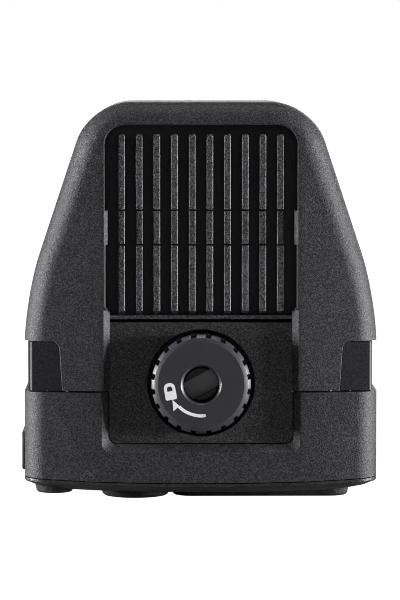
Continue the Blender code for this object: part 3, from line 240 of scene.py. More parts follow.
class Wire:
    # a socket whose sums and products add Math nodes

    def __init__(self, nodes, socket):
        self.nodes = nodes
        self.socket = socket

    def step(self, operation, *values):
        return self.nodes.node("ShaderNodeMath", {"operation": operation}, dict(enumerate(values)))

    def __add__(self, other):
        return self.step("ADD", self, other)

    def __radd__(self, other):
        return self.step("ADD", other, self)

    def __mul__(self, other):
        return self.step("MULTIPLY", self, other)

    def __rmul__(self, other):
        return self.step("MULTIPLY", other, self)


class Nodes:
    # makes and links the nodes of one tree

    def __init__(self, tree):
        self.tree = tree

    def node(self, kind, settings=None, values=None, output=0):
        made = self.tree.nodes.new(kind)
        for key, value in (settings or {}).items():
            setattr(made, key, value)
        for key, value in (values or {}).items():
            self.feed(made.inputs[key], value)
        return Wire(self, made.outputs[output])

    def feed(self, socket, value):
        if isinstance(value, Wire):
            self.tree.links.new(value.socket, socket)
        else:
            socket.default_value = (*value, 1) if isinstance(value, tuple) else value


class Finish(Nodes):
    # one material

    def __init__(self, name):
        self.material = bpy.data.materials.new(name)
        self.material.use_nodes = True
        super().__init__(self.material.node_tree)
        self.shader = self.tree.nodes["Principled BSDF"]

    def place(self):
        return self.node("ShaderNodeTexCoord", output="Object")

    def axis(self, letter):
        return self.node("ShaderNodeSeparateXYZ", values={0: self.place()}, output=letter)

    def noise(self, size, detail=3.0, rough=0.55):
        # cloudy pattern whose patches are about size millimetres
        return self.node(
            "ShaderNodeTexNoise", {"noise_dimensions": "3D"},
            {"Vector": self.place(), "Scale": 1 / (size * metre), "Detail": detail, "Roughness": rough},
        )

    def grains(self, size):
        # a value at random for each cell about size millimetres across
        cells = self.node(
            "ShaderNodeTexVoronoi", {"voronoi_dimensions": "3D"},
            {"Vector": self.place(), "Scale": 1 / (size * metre)}, "Color",
        )
        return self.node("ShaderNodeSeparateColor", None, {0: cells})

    def span(self, wire, low, high, start=0.0, stop=1.0):
        # stretches low..high to start..stop
        return self.node(
            "ShaderNodeMapRange", {"clamp": True},
            {"Value": wire, "From Min": low, "From Max": high, "To Min": start, "To Max": stop},
        )

    def mix(self, factor, first, last):
        return self.node("ShaderNodeMix", {"data_type": "RGBA"}, {0: factor, 6: first, 7: last}, 2)

    def bump(self, height, strength, distance):
        return self.node(
            "ShaderNodeBump", None, {"Height": height, "Strength": strength, "Distance": distance * metre}
        )

    def made(self, color, roughness, specular, metallic=0.0, normal=None):
        # what varies comes as a Wire, and the rest sits on the shader's own sockets
        self.feed(self.shader.inputs["Base Color"], color)
        self.feed(self.shader.inputs["Roughness"], roughness)
        self.feed(self.shader.inputs["Specular IOR Level"], specular)
        self.feed(self.shader.inputs["Metallic"], metallic)
        if normal:
            self.feed(self.shader.inputs["Normal"], normal)
        return self.material


def shaded(colour, share):
    # the colour made darker or lighter
    return tuple(c * share for c in colour)


def grained(name, colour, look, paintedLightAndShade=()):
    # moulded plastic or paint with a fine sandy grain, and with painted light and shade laid over it where
    # masks are given
    paint = Finish(name)
    fine = paint.noise(look["grain"], 2.0, 0.6)
    coarse = paint.noise(look["grain"] * 2.3, 2.0)
    patches = paint.noise(9.0, 2.0)
    sand = paint.span(paint.grains(look["cell"]), 0.3, 1.0)
    shade = paint.mix(sand, shaded(colour, look["dark"]), shaded(colour, look["light"]))
    shade = paint.mix(paint.span(patches, 0.3, 0.7, 0, 0.16), shade, shaded(colour, 0.8))
    # painted light and shade: each mask lays a flat tone over the surface's own colour
    for mask, tone in paintedLightAndShade:
        shade = paint.mix(mask(paint), shade, tone)
    rough = paint.span(fine, 0.3, 0.7, look["rough"] - 0.06, look["rough"] + 0.08)
    normal = paint.bump(fine + coarse * 0.25, look["bump"], look["grain"] * 1.4)
    return paint.made(shade, rough, look["specular"], normal=normal)


def smoothed(name, colour, rough, metallic=0.0, grain=0.3, bump=0.04, wear=0.15, specular=0.5, paintedLightAndShade=()):
    # smooth plastic, rubber or metal with faint wear, and with painted light and shade laid over it where
    # masks are given
    paint = Finish(name)
    patches = paint.noise(grain * 12)
    fine = paint.noise(grain, 2.0)
    shade = paint.mix(paint.span(patches, 0.35, 0.7), shaded(colour, 1 - wear), shaded(colour, 1 + wear))
    # painted light and shade: each mask lays a flat tone over the surface's own colour
    for mask, tone in paintedLightAndShade:
        shade = paint.mix(mask(paint), shade, tone)
    rough = paint.span(patches * 0.5 + fine * 0.5, 0.3, 0.7, max(rough - 0.06, 0.03), rough + 0.08)
    return paint.made(shade, rough, specular, metallic, paint.bump(fine, bump, grain))


def turnedMetal(name, colour, rough, pitch=0.12):
    # metal with fine turning lines round the Y axis
    paint = Finish(name)
    turns = paint.axis("Y") * (2 * math.pi / (pitch * metre))
    lines = turns.step("SINE", turns)
    patches = paint.noise(1.6)
    shade = paint.mix(paint.span(patches, 0.3, 0.7), shaded(colour, 0.82), colour)
    rough = paint.span(patches, 0.3, 0.7, rough - 0.07, rough + 0.1)
    return paint.made(shade, rough, 0.5, 1.0, paint.bump(lines, 0.08, 0.01))


def pastDepth(low, high):
    return lambda paint: paint.span(paint.axis("Y"), at(low) * metre, at(high) * metre)


def pastLeft(low, high):
    return lambda paint: paint.span(paint.axis("X"), low * metre, high * metre)


def pastSide(low, high):
    # both sides of the middle, by the square of X
    return lambda paint: paint.span(
        paint.axis("X") * paint.axis("X"), (low * metre) ** 2, (high * metre) ** 2
    )


print("stage: finishes")

charcoal = {
    "cell": 0.115, "grain": 0.15, "dark": 0.3, "light": 3.6, "rough": 0.6, "bump": 0.3, "specular": 0.3,
}
satin = {**charcoal, "dark": 0.6, "light": 1.5, "bump": 0.15, "specular": 0.1}

finishes = {
    "housing": grained("housingGrain", (0.0150, 0.0146, 0.0170), charcoal),
    "rear": grained("rearGrain", (0.0150, 0.0146, 0.0168), charcoal),
    "panel": grained("panelGrain", (0.0115, 0.0112, 0.0128), {**charcoal, "rough": 0.42}),
    "plate": grained("plateGrain", (0.0190, 0.0188, 0.0204), {**charcoal, "rough": 0.5}),
    "window": grained("windowGrainPaintedLight", (0.0150, 0.0143, 0.0188), satin, paintedLightAndShade=(
        # painted highlight: a light band on the insert's outer chamfer, where the side lamp's light falls
        (pastSide(19.90, 19.94), (0.10, 0.10, 0.104)),
        # painted shade: nearly black past the insert's side, where the gap behind it lies in shadow
        (pastSide(20.12, 20.17), (0.003, 0.003, 0.004)),
    )),
    "rib": grained("ribGrainPaintedShade", (0.037, 0.0365, 0.041), {**charcoal, "rough": 0.4}, paintedLightAndShade=(
        # painted shade: deeper than 1.75 mm behind the face, the floor between the ribs is painted nearly
        # black as the shade there
        (pastDepth(1.75, 1.85), (0.009, 0.009, 0.0095)),
    )),
    "wheel": smoothed("wheelSatin", (0.0215, 0.0206, 0.0265), 0.44, grain=0.12, bump=0.1, wear=0.06),
    "rubber": smoothed("rubberBlack", (0.016, 0.016, 0.017), 0.62, grain=0.15, bump=0.2),
    "screw": smoothed("screwBlack", (0.020, 0.022, 0.021), 0.46, grain=0.2, bump=0.1, specular=0.6),
    # painted light and shade: the head's face is painted near-black as shade, and all deeper than 0.3 mm
    # behind the face, the slot floor in sight, is painted much lighter as if lit
    "head": smoothed("headPaintedShadeAndSlotLight", (0.009, 0.009, 0.009), 0.5, grain=0.15, bump=0.1, specular=0.35, paintedLightAndShade=(
        (pastDepth(0.1, 0.3), (0.15, 0.155, 0.15)),
    )),
    "mark": smoothed("markWhite", (0.93, 0.93, 0.93), 0.5, grain=0.1, bump=0.05, wear=0.03),
    "bright": smoothed("nickelPlate", (0.58, 0.58, 0.55), 0.28, 1.0, 0.2, 0.05, 0.08),
    "socket": smoothed("socketPlatePaintedShade", (0.42, 0.42, 0.40), 0.4, 1.0, 0.2, 0.05, 0.08, paintedLightAndShade=(
        # painted shade: the plating is painted nearly black from about 2 mm into the side mouth, as the shade
        # inside it
        (pastLeft(-19.0, -18.4), (0.015, 0.015, 0.016)),
    )),
    "turned": turnedMetal("turnedSteel", (0.50, 0.50, 0.48), 0.30),
    "thread": turnedMetal("threadSteel", (0.11, 0.11, 0.105), 0.36),
    "gold": smoothed("contactGold", (0.78, 0.55, 0.22), 0.22, 1.0, 0.2, 0.04, 0.06),
    "nylon": smoothed("nylonNatural", (0.58, 0.58, 0.53), 0.5, grain=0.2, bump=0.1),
    "lens": smoothed("lensSmoked", (0.010, 0.010, 0.012), 0.09, grain=0.4, bump=0.01, wear=0.1),
    "display": smoothed("displayPale", (0.42, 0.46, 0.43), 0.2, grain=0.3, bump=0.02),
    "insert": smoothed("insertBlack", (0.020, 0.020, 0.021), 0.55, grain=0.2, bump=0.12),
    "board": smoothed("boardGreen", (0.028, 0.13, 0.06), 0.38, grain=0.35, bump=0.1),
    "film": smoothed("filmAmber", (0.38, 0.17, 0.04), 0.32, grain=0.3, bump=0.05),
    "pad": smoothed("padGrey", (0.32, 0.33, 0.35), 0.75, grain=0.25, bump=0.25),
    "frame": grained("frameGrain", (0.045, 0.045, 0.05), charcoal),
    "cell": smoothed("cellFilm", (0.09, 0.15, 0.27), 0.3, grain=0.3, bump=0.04),
}

# Housing

shape = {
    "half": 20.9, "topHalf": 13.1, "top": 47.3, "shoulder": 23.9, "depth": 23.0, "foot": -4.0,
    "shoulderRound": 5.68, "cornerRound": 4.9, "frontRound": 2.5, "rearRound": 1.0, "insideRound": 0.8,
    "faceHalf": 12.2, "cheek": 8.0, "wall": 1.6, "seam": 13.17, "seamGap": 0.1, "split": 17.0, "gap": 0.05,
    "archMid": 2.34, "archRise": 0.58, "archHalf": 26, "archFoot": -8, "soft": 0.09, "rim": 0.16,
    "lipPlay": 0.02, "lipWall": 0.5, "lipFront": 0.04, "lipBack": 0.5, "lipFoot": 3.9,
}
faceSlope = math.tan(math.radians(shape["cheek"]))
faceTurn = math.tan(math.radians(shape["cheek"] / 2))
split = at(shape["split"])
gap = shape["gap"]
outside = -shape["half"]
back = at(shape["depth"])
behind = back + 6  # behind the mating face, where cutters end


def arch(x):
    # height of the curved seam above the bottom panel
    return shape["archMid"] + shape["archRise"] * (x / shape["half"]) ** 2


def slopeCheeks(obj, last, inset=0.0):
    # turns the front back from its flat middle, as far as last
    edge = shape["faceHalf"] - inset * faceTurn
    for x in (-edge, edge):
        sliceAt(obj, (x, 0, 0), (1, 0, 0))
    return push(obj, "Y", lambda p: faceSlope * max(abs(p.x) - edge, 0) if p.y < last + tiny else 0)


def housingBlock(name, inset=0.0):
    # the tapered housing as one solid, inset all round
    lean = math.atan((shape["half"] - shape["topHalf"]) / (shape["top"] - shape["shoulder"]))
    half = shape["half"] - inset
    top = shape["top"] - inset
    topHalf = shape["topHalf"] + inset * math.tan(lean) - inset / math.cos(lean)
    shoulder = shape["shoulder"] + inset * math.tan(lean / 2)
    frontRound = shape["insideRound"] if inset else shape["frontRound"]
    rearRound = shape["insideRound"] if inset else shape["rearRound"]
    front, rearEnd = at(inset), back - inset
    obj = block(name, (-half, half), (front, rearEnd), (shape["foot"], top))
    sliceAt(obj, (0, 0, shoulder), (0, 0, 1))
    begin(obj)
    pick("VERT", lambda p: p.z > top - tiny)
    bpy.ops.transform.resize(value=(topHalf / half, 1, 1), center_override=(0, 0, top))
    pick("EDGE", along("x", lambda p: abs(p.z - shoulder) < tiny))
    bpy.ops.mesh.dissolve_edges(use_verts=False)
    end()
    bevel(obj, along("y", lambda p: abs(p.z - shoulder) < tiny), shape["shoulderRound"], 12)
    bevel(obj, along("y", lambda p: abs(p.z - top) < tiny), shape["cornerRound"] - inset * 0.7, 14)
    bevel(obj, across("y", lambda p: abs(p.y - front) < tiny), frontRound, 9)
    bevel(obj, across("y", lambda p: abs(p.y - rearEnd) < tiny), rearRound, 4)
    return slopeCheeks(obj, front + frontRound, inset)


def shellOf(name, y, z):
    # the part of the housing between two depths and two heights
    return boolean(copy(housing, name), block("region", (-far, far), y, z), "INTERSECT")


print("stage: housing")
housing = boolean(housingBlock("housing"), housingBlock("room", shape["wall"]))

# Each opening narrows from the face, and deep and slope are the depth and the two widths of that slope.
openings = {
    "rib": {
        "half": 11.32, "low": 34.52, "top": 44.55, "round": 2.3, "deep": 0.25,
        "slope": (0.1, 0.1), "at": "top",
    },
    "middle": {
        "half": 10.98, "low": 30.3, "top": 34.56, "round": 0, "deep": 0.6,
        "slope": (0.44, 0), "at": "sides",
    },
    "lower": {
        "half": 11.22, "low": 22.75, "top": 30.51, "round": 0.4, "deep": 0.45,
        "slope": (0.2, 0), "at": "sides",
    },
}
plateOpenings = {
    "upper": {
        "half": 10.75, "low": 10.0, "top": 22.8, "round": 0, "deep": 0.85,
        "slope": (0.72, 0), "at": "sides",
    },
    "lower": {
        "half": 10.93, "low": 6.91, "top": 16.0, "round": 1.0, "deep": 0.85,
        "slope": (0.77, 0.88), "at": "low",
    },
}
openingEnd = 3.6  # depth that the openings reach
openingPast = 0.3  # how far their slopes go on in front of the face


def openFace(obj, cut):
    half, low, top, deep = cut["half"], cut["low"], cut["top"], cut["deep"]
    cutter = block("opening", (-half, half), (at(deep), at(openingEnd)), (low, top))
    rim, root = (top, low) if cut["at"] == "top" else (low, top)
    if cut["round"]:
        steps = 1 if cut["at"] == "sides" else 8
        bevel(cutter, along("y", lambda p: abs(p.z - rim) < tiny), cut["round"], steps)
    begin(cutter)
    pick("FACE", lambda n: n.y < -0.9)
    extrude(y=-deep - openingPast)
    wide, tall = (slope * (deep + openingPast) / deep for slope in cut["slope"])
    bpy.ops.transform.resize(value=(1 + wide / half, 1, 1 + tall / (top - low)), center_override=(0, 0, root))
    end()
    boolean(obj, cutter)


for cut in openings.values():
    openFace(housing, cut)
upperShell = shellOf("upperShell", (-far, split - gap), (shape["seam"] + shape["seamGap"], far))
lowerShell = shellOf("lowerShell", (-far, split - gap), (-far, shape["seam"] - shape["seamGap"]))
rearCover = shellOf("rearCover", (split + gap, far), (-far, far))
bpy.data.objects.remove(housing)
openFace(upperShell, plateOpenings["upper"])
openFace(lowerShell, plateOpenings["lower"])

notch = {
    "edge": 16.69, "low": 11.17, "top": 19.1, "round": 1.0, "lean": 0.44,
    "rim": 0.2, "rimDepth": 1.2, "rimSpan": (16.0, 17.7), "rimLow": 13.5, "rimTop": 19.0,
}
for side in (-1, 1):
    xs = sorted((side * notch["edge"], side * far))
    cutter = block("notch", xs, (-far, far), (notch["low"], notch["top"]))
    inmost = notch["edge"] + notch["round"]
    bevel(
        cutter, along("y", lambda p: p.z > notch["top"] - tiny and abs(p.x) < inmost), notch["round"], 5
    )
    push(cutter, "X", lambda p: -side * notch["lean"] if p.z < shape["seam"] and abs(p.x) < inmost else 0)
    boolean(upperShell, cutter)


def archTool(name):
    # cutter for all that is below the arched seam
    obj = block(name, (-shape["archHalf"], shape["archHalf"]), (-far, far), (shape["archFoot"], 0))
    for k in range(-12, 13):
        sliceAt(obj, (k * shape["half"] / 10, 0, 0), (1, 0, 0))
    return push(obj, "Z", lambda p: arch(p.x) if p.z > -tiny else 0)


boolean(lowerShell, archTool("archLow"))
boolean(rearCover, archTool("archRear"))

# a lip inside the wall, which closes the seam between the shells and the cover
seamLip = housingBlock("seamLip", shape["wall"] + shape["lipPlay"])
boolean(seamLip, housingBlock("lipRoom", shape["wall"] + shape["lipWall"]))
lipEnds = (split - shape["lipFront"], split + shape["lipBack"])
boolean(seamLip, block("region", (-far, far), lipEnds, (shape["lipFoot"], far)), "INTERSECT")

socket = {
    "depth": 10.2, "height": 5.7, "wide": 11.0, "tall": 4.6, "round": 1.0, "sink": 0.75, "proud": 0.4,
    "play": 0.15, "mouthWide": 9.3, "mouthTall": 3.5, "mouthRound": 1.5, "mouthDeep": 3.0, "cut": 2.0,
    "coverEdge": 0.22, "fit": 0.1, "plugWide": 8.6, "plugTall": 2.8, "plugRound": 1.2, "plugEdge": 0.15,
    "plugDeep": 0.5, "tetherRoom": 0.7, "tether": 0.6, "tetherHalf": 1.6, "tetherSink": 0.05,
}


def sidePlate(name, wide, tall, radius, x):
    # rounded plate on the left side
    y, z = at(socket["depth"]), socket["height"]
    obj = block(name, x, (y - wide / 2, y + wide / 2), (z - tall / 2, z + tall / 2))
    return bevel(obj, along("x"), radius, 6)


play = 2 * socket["play"]
clear = outside - socket["cut"]
seatFloor = outside + socket["sink"]
seat = sidePlate("seat", socket["wide"] + play, socket["tall"] + play, socket["round"], (clear, seatFloor))
boolean(lowerShell, seat)
mouthEnds = (clear, outside + socket["mouthDeep"])
mouth = sidePlate("mouth", socket["mouthWide"], socket["mouthTall"], socket["mouthRound"], mouthEnds)
boolean(lowerShell, mouth)
hingeY = at(socket["depth"]) + socket["wide"] / 2 + play
roomHalf = socket["tetherHalf"] + 0.1
room = block(
    "tetherRoom", (clear, seatFloor), (hingeY - play, hingeY + socket["tetherRoom"]),
    (socket["height"] - roomHalf, socket["height"] + roomHalf),
)
boolean(lowerShell, room)

rear = {
    "pinX": 13.0, "pinZ": 31.0, "pin": 1.3, "plugWide": 15.6, "plugTall": 5.6, "plugRound": 1.1,
    "grooveIn": 1.2, "grooveOut": 2.6, "grooveDeep": 0.8, "screwZ": 14.15, "boss": 3.3, "flange": 4.5,
    "flangeDeep": 0.8, "screwHead": 1.7, "screwDeep": 2.9, "through": 4.0,
}
posts = {
    "top_left": (-10.0, 44.0), "top_right": (10.0, 44.0),
    "low_left": (-17.6, 10.2), "low_right": (17.6, 10.2),
}


def backPlate(name, grow, y):
    # rounded plate round the connector
    wide, tall = rear["plugWide"] / 2 + grow, rear["plugTall"] / 2 + grow
    obj = block(name, (-wide, wide), y, (rear["pinZ"] - tall, rear["pinZ"] + tall))
    return bevel(obj, along("y"), rear["plugRound"] + grow, 7)


def drill(radius, x, z, deep, sides):
    # round hole from the mating face
    boolean(rearCover, disc("hole", radius, "Y", (x, z), back - deep, behind, sides))


boolean(rearCover, backPlate("plug", 0, (back - rear["through"], behind)))
groove = backPlate("groove", rear["grooveOut"], (back - rear["grooveDeep"], behind))
boolean(groove, backPlate("island", rear["grooveIn"], (back - rear["through"], behind + 1)))
boolean(rearCover, groove)
for x in (-rear["pinX"], rear["pinX"]):
    drill(rear["pin"], x, rear["pinZ"], rear["through"], 40)
drill(rear["boss"], 0, rear["screwZ"], rear["through"], 56)
drill(rear["flange"], 0, rear["screwZ"], rear["flangeDeep"], 64)
for x, z in posts.values():
    drill(rear["screwHead"], x, z, rear["screwDeep"], 40)


def onRim(p, d):
    # the openings' edges on the flat of the face, without the cut ends at the seam
    atSeam = abs(p.z - shape["seam"]) < 0.2 and abs(d.x) > 0.5
    return p.y < at(0.02) and abs(p.x) < shape["faceHalf"] - 0.05 and not atSeam


def onNotchRim(p, d):
    # the front edge of each notch, apart from its sharp inner end
    first, last = notch["rimSpan"]
    within = first < abs(p.x) < last and notch["rimLow"] < p.z < notch["rimTop"]
    return p.y < at(notch["rimDepth"]) and abs(d.z) > 0.4 and within


for obj in (upperShell, lowerShell):
    bevel(obj, onRim, shape["rim"], 3, 25, True)
bevel(upperShell, onNotchRim, notch["rim"], 3, 25, True)
for obj in (upperShell, lowerShell, rearCover):
    soften(obj, shape["soft"])
rearCover = join([rearCover, seamLip], "rearCover")
finish(upperShell, "module", "upper_shell", "housing")
finish(lowerShell, "module", "lower_shell", "housing")
finish(rearCover, "module", "rear_cover", "rear")

# Ribbed panel

rib = {
    "half": 0.39, "pitch": 2.0755, "count": 10, "floor": 2.5, "back": 3.4, "root": 2.2, "base": 22.15,
    "steps": ((34.66, 43.53, 0.2), (30.62, 34.46, 0.5), (22.72, 30.4, 0.3)),
    "edge": 0.13, "topRound": 0.3, "rootPlay": 0.03, "rootFront": 1.8, "rootSink": 0.2, "rootTop": 43.4,
    "slab": 11.9, "slabLow": 21.69, "slabTop": 45.2, "slabFront": 1.7, "slabRound": 2.6, "slabRim": 0.45,
    "ledgeHalf": 10.88, "ledgeTop": 22.19, "ledgeDepth": 1.0, "ledgeBack": 2.7, "ledgeEdge": 0.09,
}


def ribSegment(low, top, level, first, last):
    # one step of a rib, the first rounded at its top and the last sloped down to the ledge
    obj = block("rib", (-rib["half"], rib["half"]), (at(level), at(rib["root"])), (low, top))
    if first:
        bevel(obj, along("y", lambda p: p.z > top - tiny), rib["topRound"], 4)
    if last:
        begin(obj)
        pick("VERT", lambda p: p.z < low + tiny and p.y > at(rib["root"]) - tiny)
        shift(z=rib["base"] - low)
        end()
    return bevel(obj, lambda p, d: p.y < at(level) + tiny and (abs(d.z) > 0.3 or first), rib["edge"], 3)


def ribRoot():
    half = rib["half"] - rib["rootPlay"]
    ends = (at(rib["rootFront"]), at(rib["floor"] + rib["rootSink"]))
    obj = block("ribRoot", (-half, half), ends, (rib["base"], rib["rootTop"]))
    return bevel(obj, along("y", lambda p: p.z > rib["rootTop"] - tiny), rib["topRound"], 4)


def ribSlab():
    # the floor behind the ribs, sunk inside its rim
    ends = (at(rib["slabFront"]), at(rib["back"]))
    obj = block("slab", (-rib["slab"], rib["slab"]), ends, (rib["slabLow"], rib["slabTop"]))
    bevel(obj, along("y", lambda p: p.z > rib["slabTop"] - tiny), rib["slabRound"], 8)
    begin(obj)
    pick("FACE", lambda n: n.y < -0.9)
    bpy.ops.mesh.inset(thickness=rib["slabRim"], depth=0)
    shift(y=rib["floor"] - rib["slabFront"])
    end()
    return obj


def ribLedge():
    half, ends = rib["ledgeHalf"], (at(rib["ledgeDepth"]), at(rib["ledgeBack"]))
    obj = block("ledge", (-half, half), ends, (rib["slabLow"], rib["ledgeTop"]))
    return bevel(obj, along("x", lambda p: p.y < at(rib["ledgeDepth"]) + tiny), rib["ledgeEdge"], 3)


def makeRibs():
    parts = [ribSegment(*step, k == 0, k == 2) for k, step in enumerate(rib["steps"])]
    one = join([*parts, ribRoot()], "ribOne")
    ribs = []
    for k in range(rib["count"]):
        twin = copy(one, f"rib{k}")
        begin(twin)
        everything()
        shift(x=(k - (rib["count"] - 1) / 2) * rib["pitch"])
        end()
        ribs.append(twin)
    bpy.data.objects.remove(one)
    return join([ribSlab(), ribLedge(), *ribs], "ribbedPanel")


print("stage: ribs")
finish(makeRibs(), "module", "ribbed_panel", "rib")

# Wheel plate

plate = {
    "half": 10.88, "low": 7.0, "top": 21.34, "round": 1.0, "level": 0.85, "back": 4.4, "edge": 0.1,
    "pocket": 6.32, "pocketDeep": 3.4, "wheelZ": 14.15, "bore": 2.1,
    "flange": 0.9, "flangeFront": 1.7, "flangeBack": 4.1, "flangeDrop": 0.05,
}


def makePlate():
    ends = (at(plate["level"]), at(plate["back"]))
    obj = block("wheelPlate", (-plate["half"], plate["half"]), ends, (plate["low"], plate["top"]))
    bevel(obj, along("y", lambda p: p.z < plate["low"] + tiny), plate["round"], 8)
    wide = plate["half"] + plate["flange"]
    ends = (at(plate["flangeFront"]), at(plate["flangeBack"]))
    heights = (plate["low"] - plate["flange"], plate["top"] - plate["flangeDrop"])
    boolean(obj, block("flange", (-wide, wide), ends, heights), "UNION")
    centre = (0, plate["wheelZ"])
    boolean(obj, disc("pocket", plate["pocket"], "Y", centre, ahead, at(plate["pocketDeep"]), 128))
    boolean(obj, disc("bore", plate["bore"], "Y", centre, at(2), at(6), 48))
    return soften(obj, plate["edge"], 3)


finish(makePlate(), "module", "wheel_plate", "plate")

# Side windows

print("stage: side windows")
insert = {
    "inset": 0.3, "edge": 16.72, "low": 13.22, "top": 19.0, "round": 0.9, "flat": 20.13, "side": 20.48,
    "chamfer": 0.2, "flush": 20.86, "flushAt": 9.0, "lean": 0.3, "soft": 0.06,
}


def sideWindow(side, label):
    # flat insert with a crisp outer edge, in the notch of the shells
    front = at(3)  # past the front end of the insert, sloped as it is
    inmost = insert["edge"] + insert["round"]
    xs = sorted((side * insert["edge"], side * insert["side"]))
    obj = block(f"sideWindow{label}", xs, (at(insert["inset"]), split - gap), (insert["low"], insert["top"]))
    bevel(obj, along("y", lambda p: abs(p.x) < inmost and p.z > insert["top"] - 1), insert["round"], 6)
    push(obj, "Y", lambda p: faceSlope * (abs(p.x) - shape["faceHalf"]) if p.y < at(1) else 0)
    begin(obj)
    pick("EDGE", along("z", lambda p: abs(p.x) > insert["side"] - 0.1 and p.y < front))
    shift(x=side * (insert["flat"] - insert["side"]))
    end()
    flush = at(insert["flushAt"])
    sliceAt(obj, (0, flush, 0), (0, 1, 0))
    wider = side * (insert["flush"] - insert["side"])
    push(obj, "X", lambda p: wider if abs(p.x) > 19 and p.y > flush - 1 else 0)
    bevel(
        obj, along("z", lambda p: p.y < front and abs(p.x) > insert["flat"] - 0.1), insert["chamfer"], 3
    )
    push(obj, "X", lambda p: -side * insert["lean"] if abs(p.x) < inmost and p.z < insert["low"] + 0.5 else 0)
    return soften(obj, insert["soft"])


for side, label in ((-1, "Left"), (1, "Right")):
    finish(sideWindow(side, label), "module", f"side_window_{label.lower()}", "window")

# Lock wheel, its marks and the screw

print("stage: wheel")
wheel = {
    "z": 14.15, "face": -1.38, "radius": 5.84, "toothEdge": 5.5, "flat": 5.07, "shallow": 0.22, "steep": 0.42,
    "back": 3.05, "bore": 2.13, "boreEdge": 2.4, "boreDeep": 0.3, "boreLong": 1.6, "notches": 20,
    "notchWide": 0.64, "notchRoot": 5.5, "notchEnd": 2.2, "edge": 0.05,
}


def turnSelected(angle):
    # about the wheel's axis, anticlockwise from the front for a positive angle
    bpy.ops.transform.rotate(value=angle, orient_axis="Y", center_override=(0, 0, wheel["z"]))


def makeWheel():
    z, start = wheel["z"], wheel["face"] + wheel["shallow"] + wheel["steep"]
    obj = disc("lockWheel", wheel["radius"], "Y", (0, z), at(start), at(wheel["back"]), 160)
    begin(obj)
    pick("FACE", lambda n: n.y < -0.9)
    size = wheel["radius"]
    profile = (
        (wheel["toothEdge"], -wheel["steep"]), (wheel["flat"], -wheel["shallow"]), (wheel["boreEdge"], 0),
        (wheel["bore"], wheel["boreDeep"]), (wheel["bore"], wheel["boreLong"]),
    )
    for radius, depth in profile:
        extrude(y=depth)
        bpy.ops.transform.resize(value=(radius / size, 1, radius / size), center_override=(0, 0, z))
        size = radius
    end()
    half = wheel["notchWide"] / 2
    cutters = []
    for k in range(wheel["notches"]):
        tool = block("notch", (-half, half), (ahead, at(wheel["notchEnd"])), (z + wheel["notchRoot"], z + 7))
        begin(tool)
        everything()
        turnSelected(2 * math.pi * (k + 0.5) / wheel["notches"])
        end()
        cutters.append(tool)
    boolean(obj, join(cutters, "notches"))
    return soften(obj, wheel["edge"], 2, 20)


finish(makeWheel(), "lock_wheel", "lock_wheel", "wheel", 25)

mark = {
    "proud": 0.02, "sink": 0.05,
    "lock": (-3.66, -0.79), "lockHalf": 0.67, "lockTall": 1.0, "lockTop": 0.62, "lockFoot": 0.18, "lean": 10,
    "holeHalf": 0.31, "holeLow": 0.02, "holeTop": 0.6, "holeRound": 0.28,
    "arc": 3.66, "stroke": 0.185, "start": 276, "sweep": 50,
    "barb": ((-3.4, -1.75), (-3.26, -3.1), (-2.55, -2.5)),
}
markEnds = (at(wheel["face"]) - mark["proud"], at(wheel["face"]) + mark["sink"])


def makeLockMark():
    # padlock with a hole under its bow
    half, tall = mark["lockHalf"], mark["lockTall"]
    obj = block("lock", (-half, half), markEnds, (-tall, tall))
    bevel(obj, along("y", lambda p: p.z > 0), mark["lockTop"], 8)
    bevel(obj, along("y", lambda p: p.z < tiny - tall), mark["lockFoot"], 4)
    half, top = mark["holeHalf"], mark["holeTop"]
    hole = block("hole", (-half, half), (markEnds[0] - 1, markEnds[1] + 1), (mark["holeLow"], top))
    bevel(hole, along("y", lambda p: p.z > top - tiny), mark["holeRound"], 6)
    boolean(obj, hole)
    begin(obj)
    everything()
    bpy.ops.transform.rotate(value=math.radians(mark["lean"]), orient_axis="Y", center_override=(0, 0, 0))
    shift(x=mark["lock"][0], z=wheel["z"] + mark["lock"][1])
    end()
    return obj


def makeArc():
    # curved shaft of the arrow
    obj = block("arc", (mark["arc"] - mark["stroke"], mark["arc"] + mark["stroke"]), markEnds, (-0.1, 0))
    begin(obj)
    pick("FACE", lambda n: n.z > 0.9)
    sweep = math.radians(mark["sweep"])
    bpy.ops.mesh.spin(steps=30, angle=sweep, center=(0, 0, 0), axis=(0, 1, 0))
    everything()
    bpy.ops.mesh.remove_doubles(threshold=0.0005)
    shift(z=wheel["z"])
    turnSelected(math.radians(mark["start"]) - sweep)
    end()
    return obj


def makeArcEnd():
    obj = disc("arcEnd", mark["stroke"], "Y", (0, 0), *markEnds, 24)
    turn = math.radians(mark["start"])
    begin(obj)
    everything()
    shift(x=mark["arc"] * math.cos(turn), z=wheel["z"] + mark["arc"] * math.sin(turn))
    end()
    return obj


def makeBarb():
    # a triangle whose corners are brought to the arrow's three points
    obj = disc("barb", 1, "Y", (0, 0), *markEnds, 3)
    corners = sorted({(round(v.co.x, 3), round(v.co.z, 3)) for v in obj.data.vertices})
    begin(obj)
    for (x, z), (toX, toZ) in zip(corners, mark["barb"]):
        pick("VERT", lambda p: abs(p.x - x) < 0.01 and abs(p.z - z) < 0.01)
        shift(x=toX - x, z=wheel["z"] + toZ - z)
    end()
    return obj


for makeMark in (makeLockMark, makeArc, makeArcEnd, makeBarb):
    finish(makeMark(), "lock_wheel", None, "mark")

screw = {
    "head": 2.0, "level": -0.5, "edge": 0.14, "headDeep": 1.6, "low": 2.1, "collar": 1.7, "shoulder": 2.9,
    "shank": 1.93, "start": 23.5, "tip": 29.1, "pitch": 0.7, "cut": 0.3, "point": 0.15,
    "crest": 0.12, "flank": 0.36, "valley": 0.46, "clip": 1.5, "clipFront": 17.75, "clipBack": 18.45,
    "slotHigh": 1.07, "slotLow": 1.2, "slotDeep": 1.0, "lean": 28, "soft": 0.035,
}
skin = 0.01  # first step of a turned end


